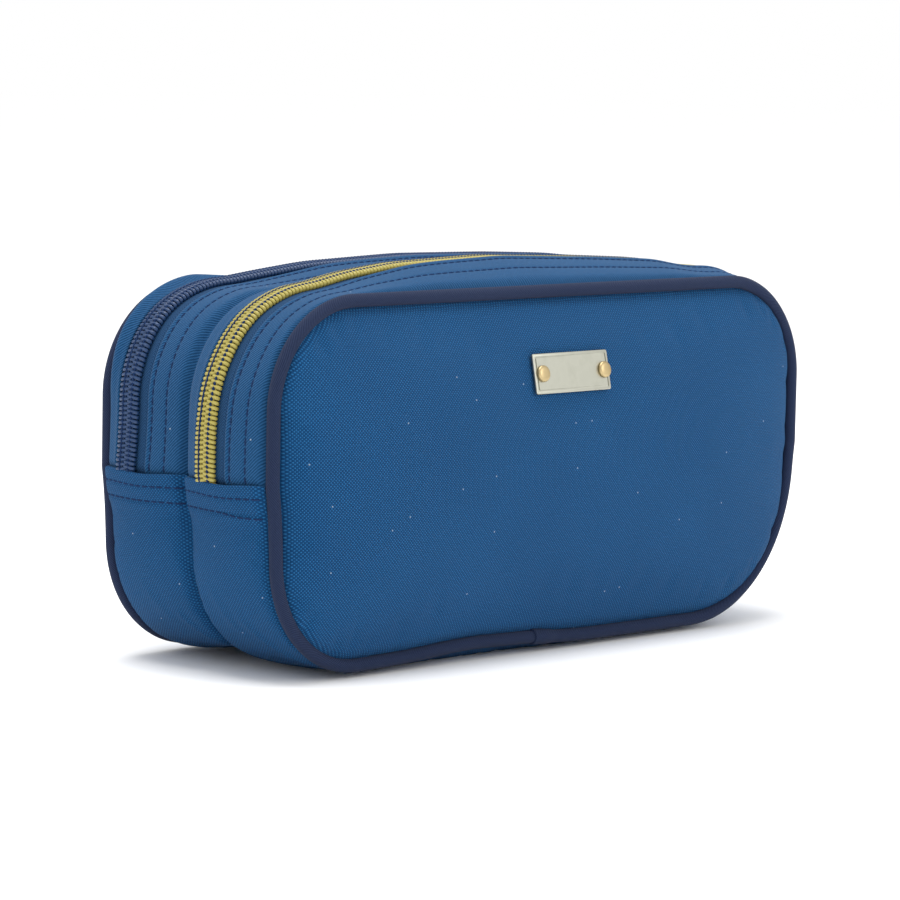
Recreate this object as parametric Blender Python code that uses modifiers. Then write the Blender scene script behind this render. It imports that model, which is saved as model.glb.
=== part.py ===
"""Soft pencil case with two zipped compartments sewn back to back.

Metres, +Z up. The front panel faces -Y and the base rests on z = 0. Each compartment is a gusset
that runs round one seam outline; its upper half is split lengthwise by a coil zip. The outer side
of each zip belongs to a flap that folds about a line across the panel at the height of the hems.
"""

import math

import bmesh
import bpy
from mathutils import Matrix, Vector

# ---------------------------------------------------------------- driving dimensions (metres)
WIDTH = 0.220               # seam outline, left to right
SEAM_BOTTOM = 0.0015        # lowest and highest points of the seam outline
SEAM_TOP = 0.1065
CORNER_R = 0.0315           # corner radii of the seam outline: at the top, at the bottom left and
LEFT_BASE_R = 0.032         # at the bottom right, where the case is slack
RIGHT_BASE_R = 0.045
TAPER = 0.020               # how much narrower the base is than the hem line, as a part of it
TAPER_REACH = 0.014         # how soon below the hem line most of that is reached
COMPARTMENT = 0.0340        # depth of one compartment, seam to seam
CASE_X = -0.0029            # the case's own middle, so that the whole, with its sliders and
CASE_Y = 0.0                # badge, is centred on the origin

WALL = 0.0015               # outer cloth, thin foam and lining, bonded
GAP = 0.0003                # room left between neighbouring pieces
BULGE = 0.0042              # how far a stuffed gusset swells past its seams at its ends, and where
END_BULGE = 0.0015          # the right top corner meets the top
SEAM_DIP = 0.0008           # how far the gusset's edges are pulled in at the seams
HEM_Z = 0.0543              # top of the lower gusset, where the zip ends are covered
PIPING_R = 0.0019
PUFF = 0.0100               # how far the middle of an outer panel stands proud of its edge

STRIP_EDGE = 0.0125         # places across a compartment, from its front seam
TAPE_INSET = 0.0128
COIL_FRONT = 0.0174
CHAIN_MIDDLE = 0.02105
COIL_WIDTH = 0.0030
COIL_HEIGHT = 0.0015
TAPE = 0.0006               # thickness of the woven zip tape
NARROW_STRIP = 0.0276
PIPED_EDGE = 0.0022         # a gusset's margin to a piped seam and to the middle seam
PLAIN_EDGE = 0.0010
BINDING_WIDTH = 0.0053
BINDING = 0.0010            # thickness of the tape that binds a seam inside
BINDING_INSET = 0.0027

SLIDER_LENGTH = 0.0130
SLIDER_WIDTH = 0.0104
SLIDER_PLATE = 0.0011
TAIL_TAPER = 0.92           # width of a slider at its tail over that at its nose

BADGE_SIZE = (0.0311, 0.0008, 0.0116)
BADGE_CENTRE = (-0.0008, 0.0817)
RIVET_X = (-0.0131, 0.0125)
RIVET_HEAD_R = 0.0024
RIVET_SHANK_R = 0.0008

# How far a gusset swells, at distances from the left hem: over the top, where the cloth is slack
# round the left corner and fullest over the middle, and under the base, where it lies flat.
FRONT_SWELL = ((0.000, 0.0042), (0.014, 0.0042), (0.034, 0.0014), (0.058, 0.0003), (0.070, 0.0008),
               (0.084, 0.0037), (0.103, 0.0060), (0.140, 0.0073), (0.178, 0.0059), (0.206, 0.0044),
               (0.219, 0.0021), (0.227, END_BULGE))
REAR_SWELL = ((0.000, 0.0032), (0.014, 0.0022), (0.046, 0.0014), (0.060, 0.0003), (0.070, 0.0003),
              (0.084, 0.0021), (0.103, 0.0042), (0.140, 0.0056), (0.178, 0.0050), (0.206, 0.0038),
              (0.219, 0.0020), (0.227, END_BULGE))
BASE_SWELL = ((0.000, 0.0042), (0.012, 0.0036), (0.030, 0.0018), (0.046, 0.0008), (0.066, 0.0012),
              (0.085, 0.0028), (0.200, 0.0028), (0.225, 0.0016), (0.250, 0.0014), (0.278, 0.0036),
              (0.293, 0.0042))

CORNER_STEPS = 8
FULL_TURN = 2 * math.pi

# ---------------------------------------------------------------- worked-out places
HALF = WIDTH / 2
SIDE_TOP = SEAM_TOP - CORNER_R
MIDDLE_Z = (SEAM_TOP + SEAM_BOTTOM) / 2
UPPER_Z = HEM_Z + 0.0004    # where the pieces above the hem line begin
PANEL_INSET = 2 * PIPING_R + GAP
PANEL_FACE = COMPARTMENT + 0.0011
DIVIDER = 0.0014


def swell(v, bulge):
    """Outward distance of a gusset's face from the seam outline, v from its front seam."""
    return -SEAM_DIP + bulge * math.sin(math.pi * v / COMPARTMENT) ** 0.7


CHAIN_SEAT = swell(CHAIN_MIDDLE, BULGE)          # level the coils lie on
SLIDER_UNDER = CHAIN_SEAT + COIL_HEIGHT + 0.0006
SLIDER_TOP = SLIDER_UNDER + SLIDER_PLATE
PULL_AXIS = SLIDER_TOP + 0.0011
# The chain's way round the corner is an arc whose middle lies this much outward and down.
ARC_SHIFT = (CHAIN_SEAT - swell(CHAIN_MIDDLE, END_BULGE)) / 2
SLIDER_Z = SIDE_TOP - ARC_SHIFT


# ---------------------------------------------------------------- scene, materials, objects
def clear_scene():
    for old in list(bpy.data.objects):
        bpy.data.objects.remove(old, do_unlink=True)


def collection(name):
    made = bpy.data.collections.new(name)
    bpy.context.scene.collection.children.link(made)
    return made


def material(name, colour, roughness, metallic=0.0):
    made = bpy.data.materials.new(name)
    made.use_nodes = True
    shader = made.node_tree.nodes["Principled BSDF"]
    shader.inputs["Base Color"].default_value = (*colour, 1.0)
    shader.inputs["Roughness"].default_value = roughness
    shader.inputs["Metallic"].default_value = metallic
    return made


def add_object(name, data, look, parent):
    made = bpy.data.objects.new(name, data)
    made.data.materials.append(look)
    PARTS.objects.link(made)
    made.parent = parent
    made.matrix_parent_inverse = parent.matrix_world.inverted()
    return made


def joint_empty(name, place, parent=None):
    """An empty on a joint's axis, which carries that body's pieces."""
    made = bpy.data.objects.new(name, None)
    made.empty_display_size = 0.01
    PARTS.objects.link(made)
    made.matrix_world = Matrix.Translation(place)
    if parent:
        made.parent = parent
        made.matrix_parent_inverse = parent.matrix_world.inverted()
    bpy.context.view_layer.update()
    return made


def smooth(mesh, angle=40):
    mesh.shade_smooth()
    mesh.set_sharp_from_angle(angle=math.radians(angle))


# ---------------------------------------------------------------- the seam outline
def corner_radius(side_x, side_z):
    if side_z > 0:
        return CORNER_R
    return LEFT_BASE_R if side_x < 0 else RIGHT_BASE_R


def corner(side_x, side_z, first, last):
    """Points round one corner of the outline: (x, z, angle of the outward normal)."""
    radius = corner_radius(side_x, side_z)
    middle_x = side_x * (HALF - radius)
    middle_z = SEAM_TOP - radius if side_z > 0 else SEAM_BOTTOM + radius
    points = []
    for step in range(CORNER_STEPS + 1):
        angle = math.radians(first + (last - first) * step / CORNER_STEPS)
        points.append((middle_x + radius * math.cos(angle), middle_z + radius * math.sin(angle),
                       angle))
    return points


def straight(start, stop, steps):
    """Points between the ends of two corners, the ends themselves left out."""
    return [(start[0] + (stop[0] - start[0]) * step / steps, start[1], start[2])
            for step in range(1, steps)]


def between(profile, distance):
    """The value of a (distance, value) profile at a distance, joined by straight lines."""
    for (first, low), (last, high) in zip(profile, profile[1:]):
        if distance < last:
            return low + (high - low) * max(distance - first, 0.0) / (last - first)
    return profile[-1][1]


def stations(points, profile):
    """Points as stations (x, z, angle, bulge), swelling as the profile says."""
    travelled = [0.0]
    for here, after in zip(points, points[1:]):
        travelled.append(travelled[-1] + math.dist(here[:2], after[:2]))
    return [(*point, between(profile, far)) for point, far in zip(points, travelled)]


def slider_station(angle):
    """A station in the right top corner, where the chain follows the slider's arc."""
    bulge = (BULGE + END_BULGE) / 2 + (BULGE - END_BULGE) / 2 * (math.cos(angle) - math.sin(angle))
    return (HALF - CORNER_R + CORNER_R * math.cos(angle), SIDE_TOP + CORNER_R * math.sin(angle),
            angle, bulge)


def tapered(x, z):
    """x drawn in below the hem line."""
    return x * (1 - TAPER * (1 - math.exp(-max(HEM_Z - z, 0.0) / TAPER_REACH)))


def upper_path(profile):
    """From the left hem, over the top, to the right hem."""
    left, right = (-HALF, UPPER_Z, math.pi), (HALF, UPPER_Z, 0.0, BULGE)
    first, last = corner(-1, 1, 180, 90), corner(1, 1, 90, 0)
    reached = stations([left] + first + straight(first[-1], last[0], 16), profile)
    return reached + [slider_station(angle) for _, _, angle in last] + [right]


def lower_path():
    """From the left hem, under the base, to the right hem."""
    left, right = (-HALF, HEM_Z, math.pi), (HALF, HEM_Z, FULL_TURN)
    first, last = corner(-1, -1, 180, 270), corner(1, -1, 270, 360)
    middle = straight(first[-1], last[0], 10)
    return stations([left] + first + middle + last + [right], BASE_SWELL)


def ring_path():
    """The whole outline, closed: the last station repeats the first."""
    ring = corner(-1, 1, 180, 90) + corner(1, 1, 90, 0) + corner(1, -1, 0, -90)
    ring += corner(-1, -1, -90, -180)
    return [(*point, 0.0) for point in ring + ring[:1]]


def split_at_slider(path):
    """The upper path in two: up to the slider's stretch, and the stretch at its right end."""
    cut = len(path) - 3
    angle = path[cut][2]
    spare = GAP / CORNER_R
    return (path[:cut] + [slider_station(angle + spare)],
            [slider_station(angle - spare)] + path[cut + 1:])


def place_on(station, v, front_seam, level):
    """World point at distance v behind a compartment's front seam, level outside the outline."""
    x, z, angle, _ = station
    height = z + level * math.sin(angle)
    return Vector((CASE_X + tapered(x + level * math.cos(angle), height),
                   CASE_Y + front_seam + v, height))


# ---------------------------------------------------------------- sewn sheets
def thickened(name, bm, look, parent, thickness, outward):
    """A bent open sheet as an object, given its thickness on the side away from outward."""
    bm.normal_update()
    turned = sum(face.normal.dot(outward(face.calc_center_median())) for face in bm.faces)
    if turned < 0:
        bmesh.ops.reverse_faces(bm, faces=bm.faces)
    mesh = bpy.data.meshes.new(name)
    bm.to_mesh(mesh)
    bm.free()
    smooth(mesh)
    made = add_object(name, mesh, look, parent)
    solid = made.modifiers.new("Thickness", "SOLIDIFY")
    solid.thickness = thickness
    solid.offset = -1.0
    solid.use_even_offset = True
    return made


def bent_grid(columns, rows, place):
    """A flat grid whose vertex (column, row) is moved to place(column, row)."""
    bm = bmesh.new()
    bmesh.ops.create_grid(bm, x_segments=columns, y_segments=rows, size=1.0)
    for vertex in bm.verts:
        column = round((vertex.co.x + 1) / 2 * columns)
        row = round((vertex.co.y + 1) / 2 * rows)
        vertex.co = place(column, row)
    return bm


def away_from_middle(point):
    return Vector((point.x - CASE_X, 0.0, point.z - MIDDLE_Z))


def band(name, path, v_range, rows, front_seam, level, thickness, look, parent):
    """A strip that follows the outline, v_range wide; level(v, bulge) gives its outer face."""
    low, high = v_range

    def place(column, row):
        station = path[column]
        v = low + (high - low) * row / rows
        point = place_on(station, v, front_seam, level(v, station[3]))
        point.z = max(point.z, 0.0)
        return point

    bm = bent_grid(len(path) - 1, rows, place)
    if path[0] == path[-1]:
        bmesh.ops.remove_doubles(bm, verts=bm.verts, dist=1e-6)
    return thickened(name, bm, look, parent, thickness, away_from_middle)


def flat_level(inset):
    return lambda v, bulge: -inset


# ---------------------------------------------------------------- outer panels
def outline_z(x, side_z, inset):
    """Height of the outline's top or bottom edge at x, moved in by inset."""
    radius = corner_radius(1 if x > 0 else -1, side_z)
    past = max(abs(x) - (HALF - radius), 0.0)
    inner = radius - inset
    rise = inner - math.sqrt(max(inner ** 2 - past ** 2, 0.0))
    return SEAM_TOP - inset - rise if side_z > 0 else SEAM_BOTTOM + inset + rise


def panel_face(x, z):
    """How far a panel's outer face stands from the middle seam at (x, z) on the case."""
    half_width = HALF - PANEL_INSET
    half_height = MIDDLE_Z - SEAM_BOTTOM - PANEL_INSET
    across = max(1 - abs(x / half_width) ** 5, 0.0) ** 0.65
    upward = max(1 - abs((z - MIDDLE_Z) / half_height) ** 2, 0.0) ** 0.85
    return PANEL_FACE + PUFF * across * upward


def spread(column, columns):
    """From -1 to 1, closer together near the ends, where an outline turns."""
    return math.sin((column / columns - 0.5) * math.pi)


def panel(name, side, upper, look, parent):
    """Half of an outer panel, above or below the fold; side is -1 in front and 1 behind."""
    columns, rows = 18, 5
    half_width = HALF - PANEL_INSET
    fold = UPPER_Z if upper else HEM_Z

    def place(column, row):
        x = half_width * spread(column, columns)
        edge = outline_z(x, 1 if upper else -1, PANEL_INSET)
        z = fold + (edge - fold) * row / rows
        return Vector((CASE_X + tapered(x, z), CASE_Y + side * panel_face(x, z), z))

    bm = bent_grid(columns, rows, place)
    return thickened(name, bm, look, parent, WALL, lambda point: Vector((0, side, 0)))


def divider_panel(look, parent):
    """The wall between the compartments, a flat outline with round corners."""
    inset = SEAM_DIP + WALL + GAP
    columns = 20

    def place(column, row):
        x = (HALF - inset) * spread(column, columns)
        low, high = (outline_z(x, side_z, inset) for side_z in (-1, 1))
        z = low + (high - low) * row / 2
        return Vector((CASE_X + tapered(x, z), CASE_Y - DIVIDER / 2, z))

    bm = bent_grid(columns, 2, place)
    return thickened("divider_panel", bm, look, parent, DIVIDER, lambda point: Vector((0, -1, 0)))


def piping(name, path, side, look, parent):
    """A round cord along the outline, at the seam of an outer panel."""
    curve = bpy.data.curves.new(name, "CURVE")
    curve.dimensions = "3D"
    curve.bevel_depth = PIPING_R
    curve.bevel_resolution = 2
    curve.use_fill_caps = True
    spline = curve.splines.new("POLY")
    spline.points.add(len(path) - 1)
    for point, station in zip(spline.points, path):
        place = place_on(station, side * COMPARTMENT, 0.0, -PIPING_R)
        point.co = (*place, 1.0)
    return add_object(name, curve, look, parent)


# ---------------------------------------------------------------- the two compartments
def compartment(prefix, front_seam, side, coil_look, flap, profile):
    """Everything of one compartment but its slider; side is that of its piped outer panel."""
    front = side < 0
    first = PIPED_EDGE if front else PLAIN_EDGE
    last = COMPARTMENT - (PLAIN_EDGE if front else PIPED_EDGE)
    upper, lower = upper_path(profile), lower_path()
    long_run, end_run = split_at_slider(upper)

    band(f"{prefix}_gusset", lower, (first, last), 8, front_seam, swell, WALL, CLOTH, CASE)
    panel(f"{prefix}_panel_lower", side, False, CLOTH, CASE)
    panel(f"{prefix}_panel_upper", side, True, CLOTH, flap)
    piping(f"{prefix}_piping_lower", lower, side, PIPING_CLOTH, CASE)
    piping(f"{prefix}_piping_upper", upper, side, PIPING_CLOTH, flap)

    wide, narrow = (first, STRIP_EDGE), (NARROW_STRIP, last)
    front_body, rear_body = (flap, CASE) if front else (CASE, flap)
    zip_side(prefix, "outer" if front else "inner", wide, (TAPE_INSET, COIL_FRONT + COIL_WIDTH),
             COIL_FRONT, front_seam, coil_look, front_body, upper, long_run, end_run)
    rear_coil = 2 * CHAIN_MIDDLE - COIL_FRONT - COIL_WIDTH
    zip_side(prefix, "inner" if front else "outer", narrow, (rear_coil, NARROW_STRIP - GAP),
             rear_coil, front_seam, coil_look, rear_body, upper, long_run, end_run)

    near = (first, first + BINDING_WIDTH)
    far = (last - BINDING_WIDTH, last)
    panel_seam, middle_seam = (near, far) if front else (far, near)
    inset = flat_level(BINDING_INSET)
    for name, path, v_range, body in (
        (f"{prefix}_binding_lower", lower, panel_seam, CASE),
        (f"{prefix}_binding_upper", upper, panel_seam, flap),
        (f"{prefix}_divider_binding", ring_path(), middle_seam, CASE),
    ):
        band(name, path, v_range, 1, front_seam, inset, BINDING, TAPE_CLOTH, body)


def zip_side(prefix, which, strip, tape, coil_start, front_seam, coil_look, body, upper, long_run,
             end_run):
    """The strip, tape and coil on one side of a zip. The side that moves with the flap leaves
    its last stretch of tape and coil, next to the slider, on the case."""
    band(f"{prefix}_{which}_strip", upper, strip, 3, front_seam, swell, WALL, CLOTH, body)
    coil = (coil_start, coil_start + COIL_WIDTH)

    def tape_level(v, bulge):
        return min(swell(v, bulge), swell(CHAIN_MIDDLE, bulge)) - GAP

    def coil_level(v, bulge):
        return swell(CHAIN_MIDDLE, bulge) + COIL_HEIGHT

    runs = [(f"{prefix}_{which}", upper, body)]
    if which == "outer":
        runs = [(f"{prefix}_{which}", long_run, body), (f"{prefix}_end", end_run, CASE)]
    for name, path, owner in runs:
        band(f"{name}_tape", path, tape, 2, front_seam, tape_level, TAPE, TAPE_CLOTH, owner)
        band(f"{name}_coil", path, coil, 1, front_seam, coil_level, COIL_HEIGHT, coil_look, owner)


# ---------------------------------------------------------------- sliders and pulls
def block(size, centre):
    """A box as a new mesh datablock's bmesh, size and centre in the slider's own axes."""
    bm = bmesh.new()
    bmesh.ops.create_cube(bm, size=1.0)
    bmesh.ops.scale(bm, vec=size, verts=bm.verts)
    bmesh.ops.translate(bm, vec=centre, verts=bm.verts)
    return bm


def loose_object(name, bm, group):
    mesh = bpy.data.meshes.new(name)
    bm.to_mesh(mesh)
    bm.free()
    made = bpy.data.objects.new(name, mesh)
    group.objects.link(made)
    return made


def join_into(base, pieces, operation):
    """Adds Boolean modifiers to base for each cutter or joined piece."""
    for piece in pieces:
        piece.hide_render = True
        piece.display_type = "WIRE"
        step = base.modifiers.new(piece.name, "BOOLEAN")
        step.operation = operation
        step.solver = "EXACT"
        step.object = piece


def slider(prefix, y, body_empty, pull_empty):
    """A slider astride the chain: plates, flanges, neck, bail and pull. +X is outward."""
    outline_x = CASE_X + HALF
    centre = Vector((outline_x, y, SLIDER_Z))
    plate_mid = (SLIDER_UNDER + SLIDER_TOP) / 2
    top = block((SLIDER_PLATE, SLIDER_WIDTH, SLIDER_LENGTH), centre + Vector((plate_mid, 0, 0)))
    tail = [v for v in top.verts if v.co.z > SLIDER_Z]
    bmesh.ops.scale(top, vec=(1, TAIL_TAPER, 1), verts=tail, space=Matrix.Translation(-centre))
    mesh = bpy.data.meshes.new(f"{prefix}_slider_body")
    top.to_mesh(mesh)
    top.free()
    smooth(mesh)
    made = add_object(f"{prefix}_slider_body", mesh, ZIP_METAL, body_empty)

    lower_top = CHAIN_SEAT - GAP - TAPE - 0.0015
    lower_mid = lower_top - 0.0005
    flange_low = CHAIN_SEAT + 0.0006
    overlap = 0.0004
    neck_low, neck_high = lower_top - overlap, SLIDER_UNDER + overlap
    flange_height = SLIDER_UNDER + overlap - flange_low
    flange_y = SLIDER_WIDTH / 2 * TAIL_TAPER - 0.0004
    nose = -SLIDER_LENGTH / 2
    pieces = [
        block((0.0010, 0.0076, 0.0085), centre + Vector((lower_mid, 0, nose + 0.0050))),
        block((neck_high - neck_low, 0.0007, 0.0032),
              centre + Vector(((neck_low + neck_high) / 2, 0, nose + 0.0026))),
    ]
    pieces += [
        block((flange_height, 0.0006, SLIDER_LENGTH - 0.0030),
              centre + Vector((flange_low + flange_height / 2, hand * flange_y, 0)))
        for hand in (-1, 1)
    ]
    names = ("lower_plate", "neck", "flange_a", "flange_b")
    joined = [loose_object(f"{prefix}_{name}", bm, GUIDES) for name, bm in zip(names, pieces)]
    join_into(made, joined, "UNION")
    bail(prefix, centre, body_empty)
    pull_tab(prefix, centre + Vector((PULL_AXIS, 0, 0)), pull_empty)


def bail(prefix, centre, body_empty):
    """The arch on the slider that holds the pull's crossbar down."""
    curve = bpy.data.curves.new(f"{prefix}_slider_bail", "CURVE")
    curve.dimensions = "3D"
    curve.bevel_depth = 0.0006
    curve.bevel_resolution = 2
    curve.use_fill_caps = True
    steps = 10
    spline = curve.splines.new("POLY")
    spline.points.add(steps + 2)
    foot = SLIDER_TOP + GAP
    reach = 0.0035
    arch = [(foot, -reach)]
    for step in range(steps + 1):
        angle = math.pi * step / steps
        arch.append((PULL_AXIS + 0.0024 * math.sin(angle), -reach * math.cos(angle)))
    arch.append((foot, reach))
    for point, (out, up) in zip(spline.points, arch):
        point.co = (centre.x + out, centre.y, centre.z + up, 1.0)
    add_object(f"{prefix}_slider_bail", curve, ZIP_METAL, body_empty)


def arc(middle, radius, start, stop, steps):
    """Points (across, up) round part of a circle, angles in degrees."""
    angles = [math.radians(start + (stop - start) * i / steps) for i in range(steps + 1)]
    return [(middle[0] + radius * math.cos(a), middle[1] + radius * math.sin(a)) for a in angles]


def circle(middle, radius, steps):
    return arc(middle, radius, 0, 360 - 360 / steps, steps - 1)


def cut_plate(name, loops, thickness, frame, look, parent):
    """A flat plate from an outline and its holes, drawn (across, up), facing its own -Y axis."""
    outline = bpy.data.curves.new(f"{name}_outline", "CURVE")
    outline.dimensions = "2D"
    outline.fill_mode = "BOTH"
    outline.extrude = thickness / 2
    for points in loops:
        spline = outline.splines.new("POLY")
        spline.use_cyclic_u = True
        spline.points.add(len(points) - 1)
        for point, (across, up) in zip(spline.points, points):
            point.co = (across, up, 0.0, 1.0)
    temporary = bpy.data.objects.new(f"{name}_outline", outline)
    GUIDES.objects.link(temporary)
    bpy.context.view_layer.update()
    evaluated = temporary.evaluated_get(bpy.context.evaluated_depsgraph_get())
    mesh = bpy.data.meshes.new_from_object(evaluated)
    bpy.data.objects.remove(temporary, do_unlink=True)
    bm = bmesh.new()
    bm.from_mesh(mesh)
    bmesh.ops.remove_doubles(bm, verts=bm.verts, dist=1e-6)
    bmesh.ops.transform(bm, matrix=frame @ Matrix.Rotation(math.radians(90), 4, "X"),
                        verts=bm.verts)
    bm.to_mesh(mesh)
    bm.free()
    smooth(mesh)
    return add_object(name, mesh, look, parent)


def pull_tab(prefix, axis_point, pull_empty):
    """A flat pull that hangs from its crossbar: a tapered plate with a window and a hole."""
    top, window_low, waist, low_end = 0.0007, -0.0049, -0.0070, -0.0270
    half_top, half_waist, half_end, half_window = 0.0027, 0.0022, 0.0036, 0.0014
    round_end = (0.0, low_end + half_end)
    body = ([(-half_top, top), (-half_top, window_low), (-half_waist, waist)]
            + arc(round_end, half_end, 180, 360, 10)
            + [(half_waist, waist), (half_top, window_low), (half_top, top)])
    window = [(-half_window, -top), (half_window, -top), (half_window, window_low),
              (-half_window, window_low)]
    facing_out = Matrix.Translation(axis_point) @ Matrix.Rotation(math.radians(90), 4, "Z")
    cut_plate(f"{prefix}_pull_tab", [body, window, circle(round_end, 0.0016, 10)], 0.0013,
              facing_out, ZIP_METAL, pull_empty)


# ---------------------------------------------------------------- badge
def badge_frame():
    """Rotation and place of the badge: its own -Y axis is the panel's outward normal there."""
    x, z = BADGE_CENTRE
    step = 0.004
    rise = (panel_face(x, z + step) - panel_face(x, z - step)) / (2 * step)
    lean = Matrix.Rotation(math.atan(rise), 4, "X")
    return Matrix.Translation((CASE_X, CASE_Y - panel_face(x, z), z)) @ lean


def turned_piece(name, profile, frame, look, parent):
    """A piece turned about its own Y axis from (radius, y) points, most outward first."""
    mesh = bpy.data.meshes.new(name)
    bm = bmesh.new()
    corners = [bm.verts.new((radius, 0.0, -y)) for radius, y in profile]
    closed = profile[0][0] > 0
    for first, second in zip(corners, corners[1:]):
        bm.edges.new((first, second))
    if closed:
        bm.edges.new((corners[-1], corners[0]))
    bmesh.ops.spin(bm, geom=bm.verts[:] + bm.edges[:], cent=(0, 0, 0), axis=(0, 0, 1),
                   angle=FULL_TURN, steps=16, use_duplicate=False)
    bmesh.ops.remove_doubles(bm, verts=bm.verts, dist=1e-6)
    bmesh.ops.recalc_face_normals(bm, faces=bm.faces)
    bmesh.ops.transform(bm, matrix=frame @ Matrix.Rotation(math.radians(90), 4, "X"),
                        verts=bm.verts)
    bm.to_mesh(mesh)
    bm.free()
    smooth(mesh)
    return add_object(name, mesh, look, parent)


def hole_cutter(name, frame, radius, depth):
    bm = bmesh.new()
    bmesh.ops.create_cone(bm, cap_ends=True, segments=16, radius1=radius, radius2=radius,
                          depth=depth)
    bmesh.ops.transform(bm, matrix=frame @ Matrix.Rotation(math.radians(90), 4, "X"),
                        verts=bm.verts)
    return loose_object(name, bm, GUIDES)


def badge(parent):
    """A metal plate held to the front panel by two rivets, each with a washer inside."""
    frame = badge_frame()
    face = -(BADGE_SIZE[1] + 3 * GAP)
    width, thickness, height = BADGE_SIZE
    left, right = BADGE_CENTRE[0] - width / 2, BADGE_CENTRE[0] + width / 2
    round_r = 0.0005
    plate = []
    for x, z, first in ((right, height / 2, 0), (left, height / 2, 90), (left, -height / 2, 180),
                        (right, -height / 2, 270)):
        middle = (x - math.copysign(round_r, x), z - math.copysign(round_r, z))
        plate += arc(middle, round_r, first, first + 90, 3)
    rivet_holes = [circle((x, 0.0), RIVET_SHANK_R + 0.0002, 16) for x in RIVET_X]
    seated = frame @ Matrix.Translation((0, -2 * GAP - thickness / 2, 0))
    cut_plate("badge_plate", [plate] + rivet_holes, thickness, seated, BADGE_METAL, parent)

    inside = WALL + 0.0005
    holes = []
    for hand, x in zip(("left", "right"), RIVET_X):
        spot = frame @ Matrix.Translation((x, 0, 0))
        holes.append(hole_cutter(f"rivet_hole_{hand}", spot, RIVET_SHANK_R + 0.0002, 0.012))
        dome = [(RIVET_HEAD_R * math.sin(math.radians(a)),
                 face - 0.0011 * math.cos(math.radians(a))) for a in (0, 25, 50, 75, 90)]
        shank = [(RIVET_SHANK_R, face), (RIVET_SHANK_R, inside + 0.0010), (0.0, inside + 0.0010)]
        turned_piece(f"badge_rivet_{hand}", dome + shank, spot, RIVET_METAL, parent)
        hole_r = RIVET_SHANK_R + GAP
        ring = [(0.0024, inside), (0.0024, inside + 0.0006), (hole_r, inside + 0.0006),
                (hole_r, inside)]
        turned_piece(f"badge_washer_{hand}", ring, spot, RIVET_METAL, parent)
    join_into(bpy.data.objects["front_panel_upper"], holes, "DIFFERENCE")


# ---------------------------------------------------------------- assembly
clear_scene()
PARTS = collection("pencil_case")
GUIDES = collection("cutters")
CLOTH = material("blue_oxford_cloth", (0.022, 0.090, 0.225), 0.85)
PIPING_CLOTH = material("navy_twill", (0.026, 0.042, 0.095), 0.8)
TAPE_CLOTH = material("blue_woven_tape", (0.024, 0.085, 0.205), 0.8)
YELLOW_COIL = material("yellow_nylon_coil", (0.58, 0.48, 0.045), 0.45)
NAVY_COIL = material("navy_nylon_coil", (0.024, 0.056, 0.138), 0.45)
ZIP_METAL = material("pale_gold_zip_metal", (0.74, 0.66, 0.46), 0.3, 1.0)
BADGE_METAL = material("pale_gold_plate", (0.80, 0.78, 0.66), 0.35, 1.0)
RIVET_METAL = material("brass_rivet", (0.72, 0.55, 0.27), 0.3, 1.0)

FLAP_REACH = PANEL_FACE + PUFF + GAP
FOLD_Z = (HEM_Z + UPPER_Z) / 2
CASE = joint_empty("case_body", (CASE_X, CASE_Y, 0.0))
for prefix, front_seam, side, coil, profile in (
    ("front", -COMPARTMENT, -1, YELLOW_COIL, FRONT_SWELL),
    ("rear", 0.0, 1, NAVY_COIL, REAR_SWELL),
):
    flap = joint_empty(f"{prefix}_fold", (CASE_X, CASE_Y + side * FLAP_REACH, FOLD_Z), CASE)
    compartment(prefix, front_seam, side, coil, flap, profile)
    chain_y = CASE_Y + front_seam + CHAIN_MIDDLE
    arc_middle = (CASE_X + HALF - CORNER_R + ARC_SHIFT, chain_y, SLIDER_Z)
    path_empty = joint_empty(f"{prefix}_slider_path", arc_middle, CASE)
    bail_place = (CASE_X + HALF + PULL_AXIS, chain_y, SLIDER_Z)
    bail_empty = joint_empty(f"{prefix}_pull_axis", bail_place, path_empty)
    slider(prefix, chain_y, path_empty, bail_empty)
    if prefix == "front":
        badge(flap)
divider_panel(CLOTH, CASE)
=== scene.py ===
import math

import bmesh
import bpy
import numpy as np
from mathutils import Matrix, Vector


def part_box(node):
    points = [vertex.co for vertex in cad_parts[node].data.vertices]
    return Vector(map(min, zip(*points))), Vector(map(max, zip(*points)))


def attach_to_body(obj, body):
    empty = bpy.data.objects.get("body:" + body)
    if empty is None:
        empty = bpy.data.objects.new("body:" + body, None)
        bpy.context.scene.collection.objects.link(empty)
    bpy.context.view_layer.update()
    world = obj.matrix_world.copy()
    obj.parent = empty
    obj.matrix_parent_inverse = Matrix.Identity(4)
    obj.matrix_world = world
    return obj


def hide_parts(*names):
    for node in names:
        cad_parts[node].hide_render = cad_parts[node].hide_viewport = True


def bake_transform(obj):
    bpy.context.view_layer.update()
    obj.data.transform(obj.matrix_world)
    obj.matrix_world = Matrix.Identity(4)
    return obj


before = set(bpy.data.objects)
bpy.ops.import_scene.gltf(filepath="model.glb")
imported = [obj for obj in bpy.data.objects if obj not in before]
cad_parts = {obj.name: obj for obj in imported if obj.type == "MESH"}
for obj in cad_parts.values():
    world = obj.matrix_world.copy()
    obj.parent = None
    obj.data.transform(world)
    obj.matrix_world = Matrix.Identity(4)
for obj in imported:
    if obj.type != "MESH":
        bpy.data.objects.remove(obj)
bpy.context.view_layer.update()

# -------- places read from the frame
PIPING_R = 0.0019
front_cord, rear_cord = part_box("front_piping_upper"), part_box("rear_piping_upper")
CASE_X = (front_cord[0].x + front_cord[1].x) / 2
HALF = (front_cord[1].x - front_cord[0].x) / 2
CASE_Y = (front_cord[0].y + rear_cord[1].y) / 2
COMPARTMENT = (rear_cord[1].y - front_cord[0].y) / 2 - PIPING_R
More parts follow.
